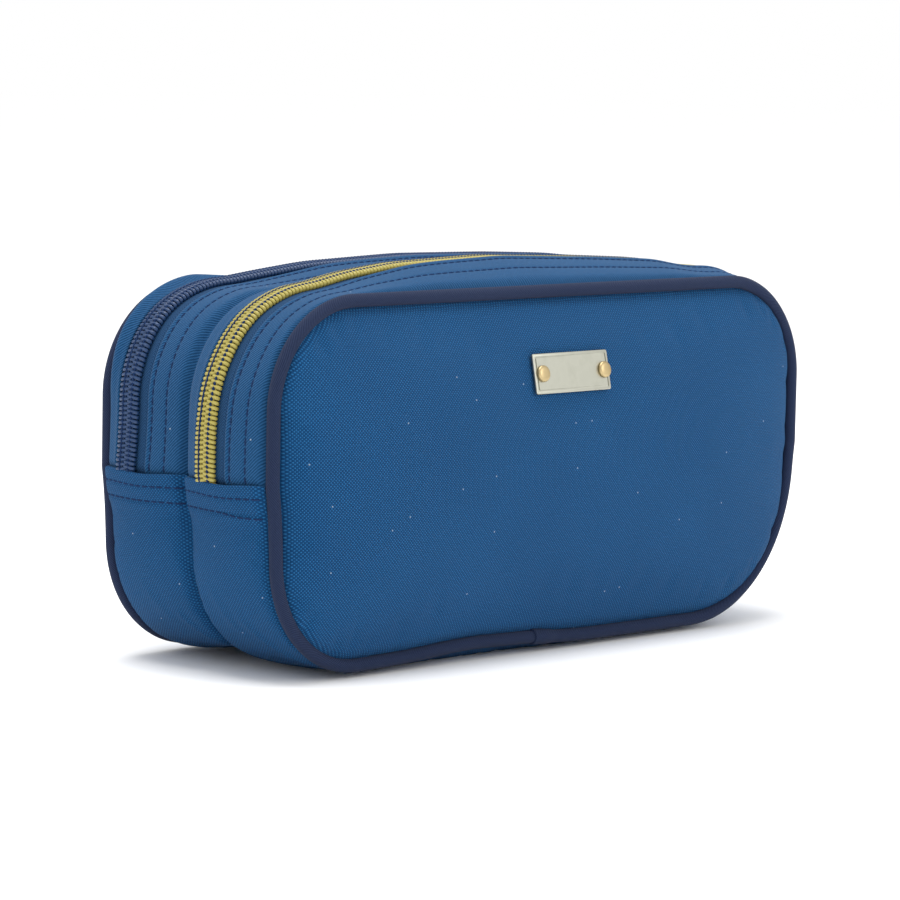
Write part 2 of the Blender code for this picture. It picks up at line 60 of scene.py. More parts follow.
SEAM_TOP = front_cord[1].z
SEAM_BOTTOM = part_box("front_piping_lower")[0].z
HEM_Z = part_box("front_gusset")[1].z

# -------- dimensions (metres)
CORNER_R = 0.0315
LEFT_BASE_R = 0.032
RIGHT_BASE_R = 0.045
TAPER, TAPER_REACH = 0.020, 0.014               # share, and distance below the hems
BULGE, END_BULGE = 0.0042, 0.0015               # swelling before and after the right corner
SEAM_DIP = 0.0008
PANEL_FACE = COMPARTMENT + 0.0011               # an outer panel's edge, from the case's middle
PUFF = 0.0100
PANEL_INSET = 0.0034
CHAIN_MIDDLE = 0.02105                          # from the compartment's front seam
MIDDLE_Z = (SEAM_TOP + SEAM_BOTTOM) / 2
SIDE_TOP = SEAM_TOP - CORNER_R
TUCK = 0.0085               # how far the strips and the zip run on under a hem
HEM_DEPTH = 0.0085          # width of the cloth folded double at a hem
HEM_LIFT = 0.0013           # how far a hem stands above what it covers
HEM_ROWS = (0.0030, 0.0072)                     # its stitch rows, from its edge
WIDE_STRIP_EDGE, NARROW_STRIP_EDGE = 0.0133, 0.0270     # beside the chain, from the front seam
STRIP_ROWS = (0.0070, 0.0122)                   # stitch rows of the wide strip
TAPE_EDGES = (0.0108, 0.0292)
TAPE_GAP = 0.0004           # from the middle of the chain to a tape
SEAM_CLOTH = 0.0016         # cloth edge to seam beside a piping
CLEFT_CLOTH = 0.00015       # and in the cleft
BINDING_WIDTH = 0.0053
PANEL_CLOTH, GUSSET_CLOTH, STRIP_THICKNESS = 0.0013, 0.0012, 0.0010
STITCH = 0.0026             # length of one topstitch, hole to hole
COIL_PITCH = 0.0013
FLOOR_GAP = 0.0001          # the base stays this far above the floor
BACKWARD = np.array([0.0, 1.0, 0.0])

# How far a gusset swells, at distances from the left hem: over the top, and under the base.
TOP_SWELL = {
    "front": ((0.000, 0.0042), (0.014, 0.0042), (0.034, 0.0014), (0.058, 0.0003), (0.070, 0.0008),
              (0.084, 0.0037), (0.103, 0.0060), (0.140, 0.0073), (0.178, 0.0059),
              (0.206, 0.0044), (0.219, 0.0021), (0.227, END_BULGE)),
    "rear": ((0.000, 0.0032), (0.014, 0.0022), (0.046, 0.0014), (0.060, 0.0003), (0.070, 0.0003),
             (0.084, 0.0021), (0.103, 0.0042), (0.140, 0.0056), (0.178, 0.0050),
             (0.206, 0.0038), (0.219, 0.0020), (0.227, END_BULGE)),
}
BASE_SWELL = ((0.000, 0.0042), (0.012, 0.0036), (0.030, 0.0018), (0.046, 0.0008), (0.066, 0.0012),
              (0.085, 0.0028), (0.200, 0.0028), (0.225, 0.0016), (0.250, 0.0014), (0.278, 0.0036),
              (0.293, 0.0042))

CASE = "case_body"


# -------- the seam outline
OUTLINE_STEP = 0.00025


def trace_outline():
    """Rows (x, z, normal x, normal z), from the left hem up, over the top, down the right side
    and back under the base, and the numbers of the rows where its stretches begin."""
    rows, begins = [], []

    def run(start, stop, normal):
        begins.append(len(rows))
        count = int(math.dist(start, stop) / OUTLINE_STEP)
        for t in np.arange(count) / count:
            rows.append((start[0] + (stop[0] - start[0]) * t,
                         start[1] + (stop[1] - start[1]) * t, *normal))

    def bend(middle, radius, first, last):
        begins.append(len(rows))
        count = int(radius * abs(last - first) / OUTLINE_STEP)
        for angle in first + (last - first) * np.arange(count) / count:
            rows.append((middle[0] + radius * math.cos(angle),
                         middle[1] + radius * math.sin(angle), math.cos(angle), math.sin(angle)))

    quarter = math.pi / 2
    reach = HALF - CORNER_R
    run((-HALF, HEM_Z), (-HALF, SIDE_TOP), (-1, 0))
    bend((-reach, SIDE_TOP), CORNER_R, 2 * quarter, quarter)
    run((-reach, SEAM_TOP), (reach, SEAM_TOP), (0, 1))
    bend((reach, SIDE_TOP), CORNER_R, quarter, 0)
    run((HALF, SIDE_TOP), (HALF, HEM_Z), (1, 0))
    run((HALF, HEM_Z), (HALF, SEAM_BOTTOM + RIGHT_BASE_R), (1, 0))
    bend((HALF - RIGHT_BASE_R, SEAM_BOTTOM + RIGHT_BASE_R), RIGHT_BASE_R, 0, -quarter)
    run((HALF - RIGHT_BASE_R, SEAM_BOTTOM), (-HALF + LEFT_BASE_R, SEAM_BOTTOM), (0, -1))
    bend((-HALF + LEFT_BASE_R, SEAM_BOTTOM + LEFT_BASE_R), LEFT_BASE_R, -quarter, -2 * quarter)
    run((-HALF, SEAM_BOTTOM + LEFT_BASE_R), (-HALF, HEM_Z), (-1, 0))
    return np.array(rows), begins


OUTLINE, begins = trace_outline()
_steps = np.linalg.norm(np.diff(OUTLINE[:, :2], axis=0, append=OUTLINE[:1, :2]), axis=1)
LENGTHS = np.concatenate([[0.0], np.cumsum(_steps)])
TOTAL = LENGTHS[-1]
RIGHT_CORNER, RIGHT_SIDE, RIGHT_HEM, _, BASE_START = LENGTHS[begins[3:8]]
BASE_MIDDLE = BASE_START + HALF - RIGHT_BASE_R      # straight below the middle of the case


def rolled(values, width):
    """Values round the outline, evened out over a width along it."""
    count = int(width / OUTLINE_STEP)
    padded = np.concatenate([values[-count:], values, values[:count]])
    return np.convolve(padded, np.ones(count) / count, "same")[count:-count]


def swelling_profile(keys):
    """How far a gusset swells at each row of the outline. In the right top corner its chain
    follows the arc that the slider turns on."""
    s = LENGTHS[:-1]
    over_top = np.interp(s, *zip(*keys))
    turn = math.pi / 2 * (1 - np.clip((s - RIGHT_CORNER) / (RIGHT_SIDE - RIGHT_CORNER), 0, 1))
    arc = (BULGE + END_BULGE) / 2 + (BULGE - END_BULGE) / 2 * (np.cos(turn) - np.sin(turn))
    under = np.interp(TOTAL - s, *zip(*BASE_SWELL))
    values = np.where(s < RIGHT_CORNER, over_top, np.where(s < RIGHT_HEM, arc, under))
    return rolled(rolled(values, 0.008), 0.006)


SWELLING = {prefix: swelling_profile(keys) for prefix, keys in TOP_SWELL.items()}


def along_outline(s, column):
    return np.interp(s % TOTAL, LENGTHS, np.append(column, column[0]))


def swelling(s, prefix):
    """How far a compartment's gusset swells at arc length s."""
    return along_outline(s, SWELLING[prefix])


def tapered(x, z):
    """x drawn in a little below the hems, where the case is narrower."""
    return x * (1 - TAPER * (1 - np.exp(-np.maximum(HEM_Z - z, 0.0) / TAPER_REACH)))


def slack_lift(x, behind, z):
    """How far the front's lower edge rides up, left of the middle, where its piping is tight."""
    along = 0.0018 * gauss(x + 0.030, 0.024) + 0.0006 * gauss(x + 0.005, 0.012)
    return along * gauss(behind, 0.0045) * gauss(np.maximum(z - SEAM_BOTTOM, 0.0), 0.012)


def gauss(distance, width):
    return np.exp(-(distance / width) ** 2)


def place(s, v, level, seam):
    """World points at arc length s, v behind a compartment's front seam, level outside it."""
    s, v, level = np.broadcast_arrays(*np.atleast_1d(s, v, level))
    x, z, out_x, out_z = (along_outline(s, column) for column in OUTLINE.T)
    height = z + level * out_z
    height = height + slack_lift(x, seam + v + COMPARTMENT, height)
    return np.stack([CASE_X + tapered(x + level * out_x, height), CASE_Y + seam + v,
                     np.maximum(height, FLOOR_GAP)], axis=-1)


def swell(v, bulge):
    """Outward distance of a gusset's face from the seam outline."""
    wave = np.sin(np.pi * np.clip(v / COMPARTMENT, 0.0, 1.0))
    return -SEAM_DIP + bulge * np.maximum(wave, 0.0) ** 0.7


def chain_seat(s, prefix):
    """Level that a chain lies on."""
    return swell(CHAIN_MIDDLE, swelling(s, prefix))


def box_middle(node):
    low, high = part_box(node)
    return (low + high) / 2


def box_size(node):
    low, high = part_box(node)
    return high - low


# -------- mesh building
def unit(vectors):
    return vectors / np.maximum(np.linalg.norm(vectors, axis=-1, keepdims=True), 1e-12)


def signed_volume(points, faces):
    total = 0.0
    for size in {len(face) for face in faces}:
        group = np.array([face for face in faces if len(face) == size])
        for i in range(1, size - 1):
            a, b, c = (points[group[:, k]] for k in (0, i, i + 1))
            total += np.einsum("ij,ij->", a, np.cross(b, c))
    return total


def linked(name, mesh, degrees):
    """An object that shows a mesh, smooth but for the edges sharper than an angle."""
    mesh.shade_smooth()
    mesh.set_sharp_from_angle(angle=math.radians(degrees))
    made = bpy.data.objects.new(name, mesh)
    bpy.context.scene.collection.objects.link(made)
    return made


def make_object(name, points, faces, uvs, marks, looks):
    """An object from its points and faces, each face with its corners' cloth coordinates and the
    number of its material. Turned to face outward."""
    if signed_volume(points - points.mean(axis=0), faces) < 0:
        faces = [face[::-1] for face in faces]
        uvs = [uv[::-1] for uv in uvs]
    mesh = bpy.data.meshes.new(name)
    mesh.from_pydata(points.tolist(), [], faces)
    layer = mesh.uv_layers.new(name="Cloth")
    layer.data.foreach_set("uv", np.concatenate([np.ravel(uv) for uv in uvs]))
    for look in looks:
        mesh.materials.append(look)
    mesh.polygons.foreach_set("material_index", np.asarray(marks, dtype=np.int32))
    mesh.update()
    return linked(name, mesh, 50)


def quads(index, along, across):
    """Faces between the neighbouring rows and columns of a grid of point numbers, and the cloth
    coordinates of their corners."""
    def corners(grid):
        return np.stack([grid[:-1, :-1], grid[1:, :-1], grid[1:, 1:], grid[:-1, 1:]], axis=2)

    cloth = corners(np.stack(np.broadcast_arrays(along, across), axis=-1))
    return corners(index).reshape(-1, 4).tolist(), cloth.reshape(-1, 4, 2).tolist()


def sheet_normals(grid, outward=None, closed=False):
    """Unit normals of a grid of points (rows, columns, 3), and whether they had to be turned
    round to face outward: along a vector, or with None away from the case's middle."""
    if closed:
        along = np.roll(grid, -1, axis=1) - np.roll(grid, 1, axis=1)
    else:
        along = np.gradient(grid, axis=1)
    normals = unit(np.cross(along, np.gradient(grid, axis=0)))
    away = (grid - (CASE_X, 0, MIDDLE_Z)) * (1, 0, 1) if outward is None else outward
    inward = np.sum(normals * away) < 0
    return (-normals if inward else normals), inward


def thick_sheet(name, grid, u, v, thickness, looks, outward=None, closed=False):
    """A closed sheet with rounded edges, from the grid of its outer face. looks are the
    materials of its outer and inner face; u and v are the cloth coordinates, in metres."""
    rows, columns = grid.shape[:2]
    normals, _ = sheet_normals(grid, outward, closed)
    half = thickness / 2
    middle, reach = grid - normals * half, np.full((1, columns), half)
    if not closed:
        caps, parts = np.radians((28, 55, 80)), []
        for end, neighbour, sign, turns in ((0, 1, -1, caps[::-1]), (-1, -2, 1, caps)):
            tangent = unit(middle[:, end] - middle[:, neighbour])[:, None]
            same = [end] * len(turns)
            parts.append((middle[:, same] + tangent * half * np.sin(turns)[:, None],
                          normals[:, same], half * np.cos(turns)[None],
                          u[:, same] + half * turns * sign, v[:, same]))
        middle, normals, reach, u, v = (
            np.concatenate(part, axis=1)
            for part in zip(parts[0], (middle, normals, reach, u, v), parts[1]))
    lift = reach[..., None]

    def round_edge(row, neighbour, degrees):
        beyond = unit(middle[row] - middle[neighbour])
        return np.stack([middle[row] + lift[0] * (beyond * math.sin(math.radians(a))
                                                  + normals[row] * math.cos(math.radians(a)))
                         for a in degrees])

    profile = np.concatenate([middle + normals * lift, round_edge(-1, -2, (45, 90, 135)),
                              (middle - normals * lift)[::-1], round_edge(0, 1, (135, 90, 45))])
    rim = half * np.array([0.8, 1.6, 2.4])[:, None]
    across = np.concatenate([v, v[-1:] + rim, v[::-1], v[:1] - rim[::-1]])
    along = np.concatenate([u, np.repeat(u[-1:], 3, 0), u[::-1], np.repeat(u[:1], 3, 0)])
    index = np.arange(across.size).reshape(across.shape)
    wrap = ((0, 1), (0, int(closed)))
    index, along, across = (np.pad(values, wrap, "wrap") for values in (index, along, across))
    if closed:
        along[:, -1] = 2 * along[:, -2] - along[:, -3]
    faces, uvs = quads(index, along, across)
    row = np.arange(len(faces)) // (index.shape[1] - 1)
    opposite = 2 * rows + 2
    marks = ((row >= rows + 3) & (row < opposite) & (len(looks) > 1)).astype(int).tolist()
    if not closed:
        rings = [(row, row + 1, opposite - row - 1, opposite - row) for row in range(rows - 1)]
        rings += [tuple(range(rows - 1, rows + 4)), (*range(opposite, opposite + 4), 0)]
        for column in (0, -1):
            for ring in rings:
                ring = list(ring if column else ring[::-1])
                faces.append(index[ring, column].tolist())
                uvs.append(np.stack([along[ring, column], across[ring, column]], 1).tolist())
                marks.append(0)
    return make_object(name, profile.reshape(-1, 3), faces, uvs, marks, looks)


def tubes(name, paths, reference, radius, sides, look):
    """Round tubes along paths (count, points, 3), all in one object. reference lies roughly
    square to the paths and sets where each ring starts."""
    tangent = unit(np.gradient(paths, axis=1))
    reference = np.broadcast_to(reference, paths.shape)
    side = unit(reference - tangent * np.sum(reference * tangent, axis=-1, keepdims=True))
    up = np.cross(tangent, side)
    radius = np.broadcast_to(radius, paths.shape[1:2])
    angles = (np.arange(sides) * 2 * math.pi / sides)[:, None]
    ring = side[:, :, None] * np.cos(angles) + up[:, :, None] * np.sin(angles)
    points = paths[:, :, None] + ring * radius[:, None, None]
    girth = 2 * math.pi * float(radius.max()) / sides * np.arange(sides + 1)
    faces, uvs = [], []
    for path, index in zip(paths, np.arange(points.size // 3).reshape(points.shape[:3])):
        run = np.append(0.0, np.cumsum(np.linalg.norm(np.diff(path, axis=0), axis=1)))
        made = quads(np.pad(index, ((0, 0), (0, 1)), "wrap").T, run, girth[:, None])
        faces += made[0]
        uvs += made[1]
        for end, order in ((0, -1), (-1, 1)):
            faces.append(index[end, ::order].tolist())
            uvs.append([(run[end], turn) for turn in girth[:-1][::order]])
    return make_object(name, points.reshape(-1, 3), faces, uvs, np.zeros(len(faces)), [look])


# -------- materials
class Look:
    """A material under construction, with short calls for its nodes."""

    def __init__(self, name, colour, roughness, metallic=0.0, sheen=0.0, coat=0.0, gloss=0.5):
        self.material = bpy.data.materials.new(name)
        self.material.use_nodes = True
        self.tree = self.material.node_tree
        self.feed(self.tree.nodes["Principled BSDF"], {
            "Base Color": colour, "Roughness": roughness, "Metallic": metallic,
            "Sheen Weight": sheen, "Sheen Roughness": 0.45, "Coat Weight": coat,
            "Specular IOR Level": gloss})
        self.place = self.node("ShaderNodeUVMap", uv_map="Cloth").outputs[0]

    def feed(self, node, inputs):
        """Sets a node's inputs, or links them where the value comes from another node."""
        for key, value in inputs.items():
            socket = node.inputs[key]
            if isinstance(value, bpy.types.NodeSocket):
                self.tree.links.new(value, socket)
            else:
                socket.default_value = (*value, 1.0) if socket.type == "RGBA" else value

    def node(self, kind, inputs=None, **settings):
        made = self.tree.nodes.new(kind)
        for key, value in settings.items():
            setattr(made, key, value)
        self.feed(made, inputs or {})
        return made

    def math(self, operation, a, b=0.0, c=0.0, clamp=False):
        made = self.node("ShaderNodeMath", {0: a, 1: b, 2: c}, operation=operation,
                         use_clamp=clamp)
        return made.outputs[0]

    def add(self, a, b):
        return self.math("ADD", a, b)

    def times(self, a, b):
        return self.math("MULTIPLY", a, b)

    def wave(self, value, turn):
        """A wave between 0 and 1."""
        return self.times(self.add(self.math("SINE", self.times(value, turn)), 1.0), 0.5)

    def around_zero(self, value, share):
        """A noise's value, spread evenly round zero."""
        return self.times(self.math("SUBTRACT", value, 0.5), share)

    def cloth_axes(self):
        """Cloth coordinates in metres, along and across."""
        return self.node("ShaderNodeSeparateXYZ", {0: self.place}).outputs[:2]

    def noise(self, scale, detail=2.0, vector=None):
        made = self.node("ShaderNodeTexNoise",
                         {"Vector": vector or self.place, "Scale": scale, "Detail": detail})
        return made.outputs["Fac"]

    def mix(self, factor, a, b):
        return self.node("ShaderNodeMix", {0: factor, 6: a, 7: b}, data_type="RGBA").outputs[2]

    def ramp(self, value, low, high):
        return self.node("ShaderNodeMapRange", {0: value, 1: low, 2: high}, clamp=True).outputs[0]

    def finish(self, height, depth, strength=1.0, **inputs):
        bump = self.node("ShaderNodeBump", {"Strength": strength, "Distance": depth,
                                            "Height": height})
        inputs["Normal"] = bump.outputs[0]
        self.feed(self.tree.nodes["Principled BSDF"], inputs)
        return self.material


LINT = (0.45, 0.55, 0.66)


def woven(name, dark, light, kind, pitch, roughness=0.85, depth=0.00012, lint=0.0, speckle=0.5,
          sheen=0.03):
    """Cloth with its threads: plain weave, twill or herringbone, pitch between two threads. lint
    is the share of small cells that hold a pale speck."""
    look = Look(name, dark, roughness, sheen=sheen, gloss=0.15)
    drift = look.around_zero(look.noise(90.0), pitch * 1.6)
    along, across = (look.add(axis, drift) for axis in look.cloth_axes())
    turn = math.pi / pitch
    if kind == "plain":
        both = look.times(look.math("SINE", look.times(along, turn)),
                          look.math("SINE", look.times(across, turn)))
        height = look.math("POWER", look.math("ABSOLUTE", both), 0.5)
        top = look.math("POWER", look.math("MAXIMUM", both, 0.0), 0.8)
    else:
        if kind == "herringbone":
            across = look.math("PINGPONG", across, pitch * 6)
        threads = look.math("SINE", look.times(look.math("SUBTRACT", along, across), turn * 2.0))
        height = look.math("MULTIPLY_ADD", threads, 0.18,
                           look.wave(look.add(along, across), turn))
        top = look.math("MULTIPLY", height, 1.0, clamp=True)
    fibre = look.noise(1400.0, 3.0)
    shade = look.add(look.around_zero(fibre, speckle), look.around_zero(look.noise(22.0), 0.25))
    factor = look.math("ADD", look.times(top, 0.85), shade, clamp=True)
    colour = look.mix(factor, dark, light)
    if lint:
        cells = look.node("ShaderNodeTexVoronoi", {"Vector": look.place, "Scale": 150.0},
                          voronoi_dimensions="2D")
        spot = look.ramp(cells.outputs["Distance"], 0.045, 0.020)
        draw = look.node("ShaderNodeSeparateColor", {0: cells.outputs["Color"]}).outputs[0]
        chosen = look.math("GREATER_THAN", draw, 1.0 - lint)
        colour = look.mix(look.times(look.times(spot, chosen), 0.6), colour, LINT)
    return look.finish(look.add(height, look.times(fibre, 0.35)), depth, **{"Base Color": colour})


def nylon(name, colour, pale):
    """Wound monofilament, with a slightly uneven dye."""
    look = Look(name, colour, 0.42, coat=0.05, gloss=0.4)
    fine = look.noise(900.0)
    return look.finish(fine, 0.00003,
                       **{"Base Color": look.mix(look.times(fine, 0.6), colour, pale)})


def thread(name, dark, light):
    """Sewing thread: a fine twist along its length."""
    look = Look(name, dark, 0.8, gloss=0.10)
    along, across = look.cloth_axes()
    twist = look.wave(look.add(along, look.times(across, 0.8)), 9000.0)
    return look.finish(twist, 0.00005, **{"Base Color": look.mix(twist, dark, light)})


def metal(name, colour, worn, roughness, brushed):
    """Plated metal: fine scratches and a little dullness in patches."""
    look = Look(name, colour, roughness, metallic=1.0)
    where = look.node("ShaderNodeTexCoord").outputs["Object"]
    stretched = look.node("ShaderNodeMapping", {"Vector": where, "Scale": (60.0, 60.0, 2500.0)})
    lines = look.noise(1.0, 4.0, stretched.outputs[0])
    patch = look.noise(260.0, 3.0, where)
    return look.finish(lines, 0.00002, brushed, **{
        "Base Color": look.mix(look.ramp(patch, 0.45, 0.8), colour, worn),
        "Roughness": look.math("MULTIPLY_ADD", patch, 0.22, roughness - 0.11)})


CLOTH = woven("Blue_oxford_cloth", (0.0012, 0.042, 0.130), (0.020, 0.153, 0.375), "plain", 0.00050,
              depth=0.00020, lint=0.08, speckle=0.6)
STRIP_CLOTH = woven("Blue_strip_cloth", (0.002, 0.035, 0.097), (0.020, 0.100, 0.246), "twill",
                    0.00046, depth=0.00009, lint=0.05, speckle=0.6, sheen=0.07)
TAPE_CLOTH = woven("Blue_zip_tape", (0.004, 0.028, 0.078), (0.018, 0.070, 0.170), "herringbone",
                   0.00042, depth=0.00008, speckle=0.4)
PIPING_CLOTH = woven("Navy_twill", (0.007, 0.013, 0.038), (0.024, 0.038, 0.088), "twill", 0.00038,
                     depth=0.00008, speckle=0.5)
LINING = woven("Grey_blue_lining", (0.050, 0.082, 0.125), (0.095, 0.135, 0.190), "plain", 0.00035,
               roughness=0.6, depth=0.00004, speckle=0.2)
YELLOW_COIL = nylon("Yellow_nylon", (0.34, 0.28, 0.042), (0.47, 0.41, 0.14))
NAVY_COIL = nylon("Navy_nylon", (0.006, 0.030, 0.098), (0.022, 0.064, 0.160))
THREAD = thread("Navy_thread", (0.006, 0.018, 0.060), (0.015, 0.038, 0.110))
ZIP_METAL = metal("Pale_gold_zip_metal", (0.60, 0.52, 0.35), (0.46, 0.40, 0.27), 0.30, 0.25)
BADGE_METAL = metal("Pale_gold_plate", (0.44, 0.44, 0.375), (0.39, 0.39, 0.33), 0.38, 0.35)
RIVET_METAL = metal("Brass_rivet", (0.50, 0.39, 0.21), (0.41, 0.32, 0.17), 0.36, 0.15)


# -------- cloth that is sewn and stuffed
def settle(grid, pinned, outward, pressure, slack, cap):
    """The grid after its cloth is pushed out from inside, its pinned points held. slack is how
    much longer the cloth is than the shape it starts from; no point moves further than cap."""
    scale, frames = 10.0, 18        # the solver works at ten times the size
    index = np.arange(pinned.size).reshape(pinned.shape)
    faces = np.stack([index[:-1, :-1], index[:-1, 1:], index[1:, 1:], index[1:, :-1]], -1)
    points = grid.reshape(-1, 3)
    if sheet_normals(grid, outward)[1]:
        faces = faces[..., ::-1]
    mesh = bpy.data.meshes.new("settling")
    mesh.from_pydata((points * scale).tolist(), [], faces.reshape(-1, 4).tolist())
    pad = bpy.data.objects.new("settling", mesh)
    bpy.context.scene.collection.objects.link(pad)
    group = pad.vertex_groups.new(name="held")
    group.add([int(i) for i in np.flatnonzero(pinned.ravel())], 1.0, "REPLACE")
    cloth = pad.modifiers.new("Cloth", "CLOTH")
    settings = cloth.settings
    for key, value in (("quality", 6), ("mass", 0.3), ("tension_stiffness", 25),
                       ("compression_stiffness", 25), ("shear_stiffness", 12),
                       ("bending_stiffness", 1.5), ("vertex_group_mass", "held"),
                       ("use_pressure", True), ("uniform_pressure_force", pressure),
                       ("shrink_min", -slack)):
        setattr(settings, key, value)
    settings.effector_weights.gravity = 0
    cloth.collision_settings.use_collision = False
    cloth.point_cache.frame_start, cloth.point_cache.frame_end = 1, frames
    scene = bpy.context.scene
    for step in range(1, frames + 1):
        scene.frame_set(step)
    evaluated = pad.evaluated_get(bpy.context.evaluated_depsgraph_get())
    moved = np.empty(len(points) * 3)
    evaluated.data.vertices.foreach_get("co", moved)
    moved = moved.reshape(-1, 3) / scale
    bpy.data.objects.remove(pad, do_unlink=True)
    scene.frame_set(1)
    shift = moved - points
    length = np.linalg.norm(shift, axis=1, keepdims=True)
    shift = shift * cap / np.hypot(cap, length)
    return (points + shift).reshape(grid.shape)


class Surface:
    """A settled sheet, to lay stitches on."""

    def __init__(self, grid, s, v):
        self.grid, self.s, self.v = grid, s, v
        self.normals, _ = sheet_normals(grid)

    def at(self, s, v, lift):
        row = np.clip(np.searchsorted(self.v, v) - 1, 0, len(self.v) - 2)
        column = np.clip(np.searchsorted(self.s, s) - 1, 0, len(self.s) - 2)
        down = ((v - self.v[row]) / (self.v[row + 1] - self.v[row]))[..., None]
        over = ((s - self.s[column]) / (self.s[column + 1] - self.s[column]))[..., None]

        def mixed(values):
            low = values[row, column] * (1 - over) + values[row, column + 1] * over
            high = values[row + 1, column] * (1 - over) + values[row + 1, column + 1] * over
            return low * (1 - down) + high * down

        normal = unit(mixed(self.normals))
        return mixed(self.grid) + normal * np.asarray(lift)[..., None], normal


def stitches(name, surface, line, length):
    """Topstitches along a line; line(t) gives s and v at t metres along it."""
    count = int(length / STITCH)
    starts = (np.arange(count) + 0.5) * length / count
    run = np.linspace(-1, 1, 7)
    t = starts[:, None] + run * STITCH * 0.45
    s, v = line(t)
    lift = np.broadcast_to(0.00010 - 0.00038 * np.abs(run) ** 3, t.shape)
    paths, normal = surface.at(s, v, lift)
    radius = 0.00025 * (1 - 0.25 * np.abs(run) ** 4)
    return tubes(name, paths, normal, radius, 6, THREAD)


# -------- the fold's slope, and where pieces go
FOLD_SLOPE = 0.114          # the fold runs higher at the right, above the closed slider
FOLD_UP = Vector((-FOLD_SLOPE, 0, 1)).normalized()


def attach(piece, nodes=(), body=CASE, flap=None):
    """Hides the parts that a piece stands for and parents it to the body it rides on; a piece
    given a flap is not parented, only baked in place.
    """
    if nodes:
        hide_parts(*nodes)
    if flap:
        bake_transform(piece)
    else:
        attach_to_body(piece, body)


# -------- outer panels
def depth_inside(x, z):
    """How far a point of the panel's plane lies inside the seam outline."""
    upper = z > MIDDLE_Z
    radius = np.where(upper, CORNER_R, np.where(x < 0, LEFT_BASE_R, RIGHT_BASE_R))
    beside = np.abs(x) - (HALF - radius)
    beyond = np.where(upper, z - (SEAM_TOP - radius), SEAM_BOTTOM + radius - z)
    corner = np.hypot(np.maximum(beside, 0), np.maximum(beyond, 0))
    return radius - np.where((beside > 0) & (beyond > 0), corner, np.maximum(beside, beyond))


def edge_height(x, upper, inset):
    """Height at x of the seam outline's upper or lower edge, moved inside by an inset."""
    radius = CORNER_R if upper else np.where(x < 0, LEFT_BASE_R, RIGHT_BASE_R)
    past = np.maximum(np.abs(x) - (HALF - radius), 0.0)
    inner = radius - inset
    rise = inner - np.sqrt(np.maximum(inner ** 2 - past ** 2, 0.0))
    return SEAM_TOP - inset - rise if upper else SEAM_BOTTOM + inset + rise


def panel_face(x, z, puff):
    """How far an outer panel's face stands from the middle of the case."""
    half_width = HALF - PANEL_INSET
    half_height = MIDDLE_Z - SEAM_BOTTOM - PANEL_INSET
    left = np.clip(1 - np.abs(x / half_width) ** 5, 0, 1) ** 0.65
    right = np.clip(1 - np.abs(x / half_width) ** 4, 0, 1) ** 0.90
    across = np.where(x < 0, left, right)
    upward = np.clip(1 - np.abs((z - MIDDLE_Z) / half_height) ** 2, 0, 1) ** 0.85
    tuck = 0.0020 * gauss(depth_inside(x, z) - PANEL_INSET, 0.0012)
    return PANEL_FACE + puff * across * upward - tuck


def ease(count, power=0.75):
    """From -1 to 1, closer together near the ends."""
    t = np.linspace(-1, 1, count)
    return (1 - power) * t + power * np.sin(t * math.pi / 2)


def inside_seam(inset, columns, part):
    """Grids of x and z over all that lies inside the seam by an inset. part gives its rows, from
    0 at the lower edge to 1 at the upper."""
    x = (HALF - inset) * ease(columns, 1.0)
    low, high = edge_height(x, False, inset), edge_height(x, True, inset)
    z = low + (high - low) * part[:, None]
    return np.broadcast_to(x, z.shape), z


def near_badge(x, z, margin, fade_x, fade_z):
    """1 on the badge plate and a margin round it, fading to 0 away from it."""
    middle, half = box_middle("badge_plate"), box_size("badge_plate") / 2
    beside = np.maximum(np.abs(x - middle.x) - half.x - margin, 0) / fade_x
    beyond = np.maximum(np.abs(z - middle.z) - half.z - margin, 0) / fade_z
    return np.exp(-beside ** 2 - beyond ** 2)


def stiffened(points):
    """The front panel's points, with those under the badge plate moved along the fold's upward
    line to its middle, because the plate keeps the cloth flat there."""
    upward = np.array(FOLD_UP)
    off = (points - np.array(box_middle("badge_plate"))) @ upward
    off = off * near_badge(points[:, 0], points[:, 2], 0.001, 0.012, 0.007)
    return points - off[:, None] * upward


def outer_panel(prefix, side, flap):
    """The puffed cloth of one side, settled. side is -1 for the front and 1 for the rear."""
    x, z = inside_seam(PANEL_INSET, 101, (ease(55, 0.85) + 1) / 2)
    face = panel_face(x, z, PUFF)
    if side < 0:
        z = z + slack_lift(x, 0.0, z)
    sewn = np.stack([CASE_X + tapered(x, z), CASE_Y + side * face, z], -1)
    pinned = np.ones(z.shape, bool)
    pinned[2:-2, 2:-2] = False
    grid = settle(sewn, pinned, (0, side, 0), 2.2, 0.005, 0.0010)
    if side < 0:
        loose = 1 - near_badge(CASE_X + x, z, 0.0, 0.010, 0.010)
        grid = sewn + (grid - sewn) * loose[..., None]
    made = thick_sheet(f"{prefix}_panel_cloth", grid, x, z, PANEL_CLOTH, [CLOTH, LINING],
                       outward=(0, side, 0))
    points = np.empty(len(made.data.vertices) * 3)
    made.data.vertices.foreach_get("co", points)
    if side < 0:
        made.data.vertices.foreach_set("co", stiffened(points.reshape(-1, 3)).ravel())
    attach(made, [f"{prefix}_panel_upper", f"{prefix}_panel_lower"], flap=flap)
    made.data.vertices.foreach_set("co", points)
    made.data.update()


# -------- gussets, strips and tapes
def seam_dips(v, front):
    """How far a gusset's edge dives in beside the piping and into the cleft."""
    piped, cleft = SEAM_CLOTH, COMPARTMENT - 0.0004
    if not front:
        piped, cleft = COMPARTMENT - piped, COMPARTMENT - cleft
    return 0.0018 * gauss(v - piped, 0.0008) + 0.0019 * gauss(v - cleft, 0.0012)


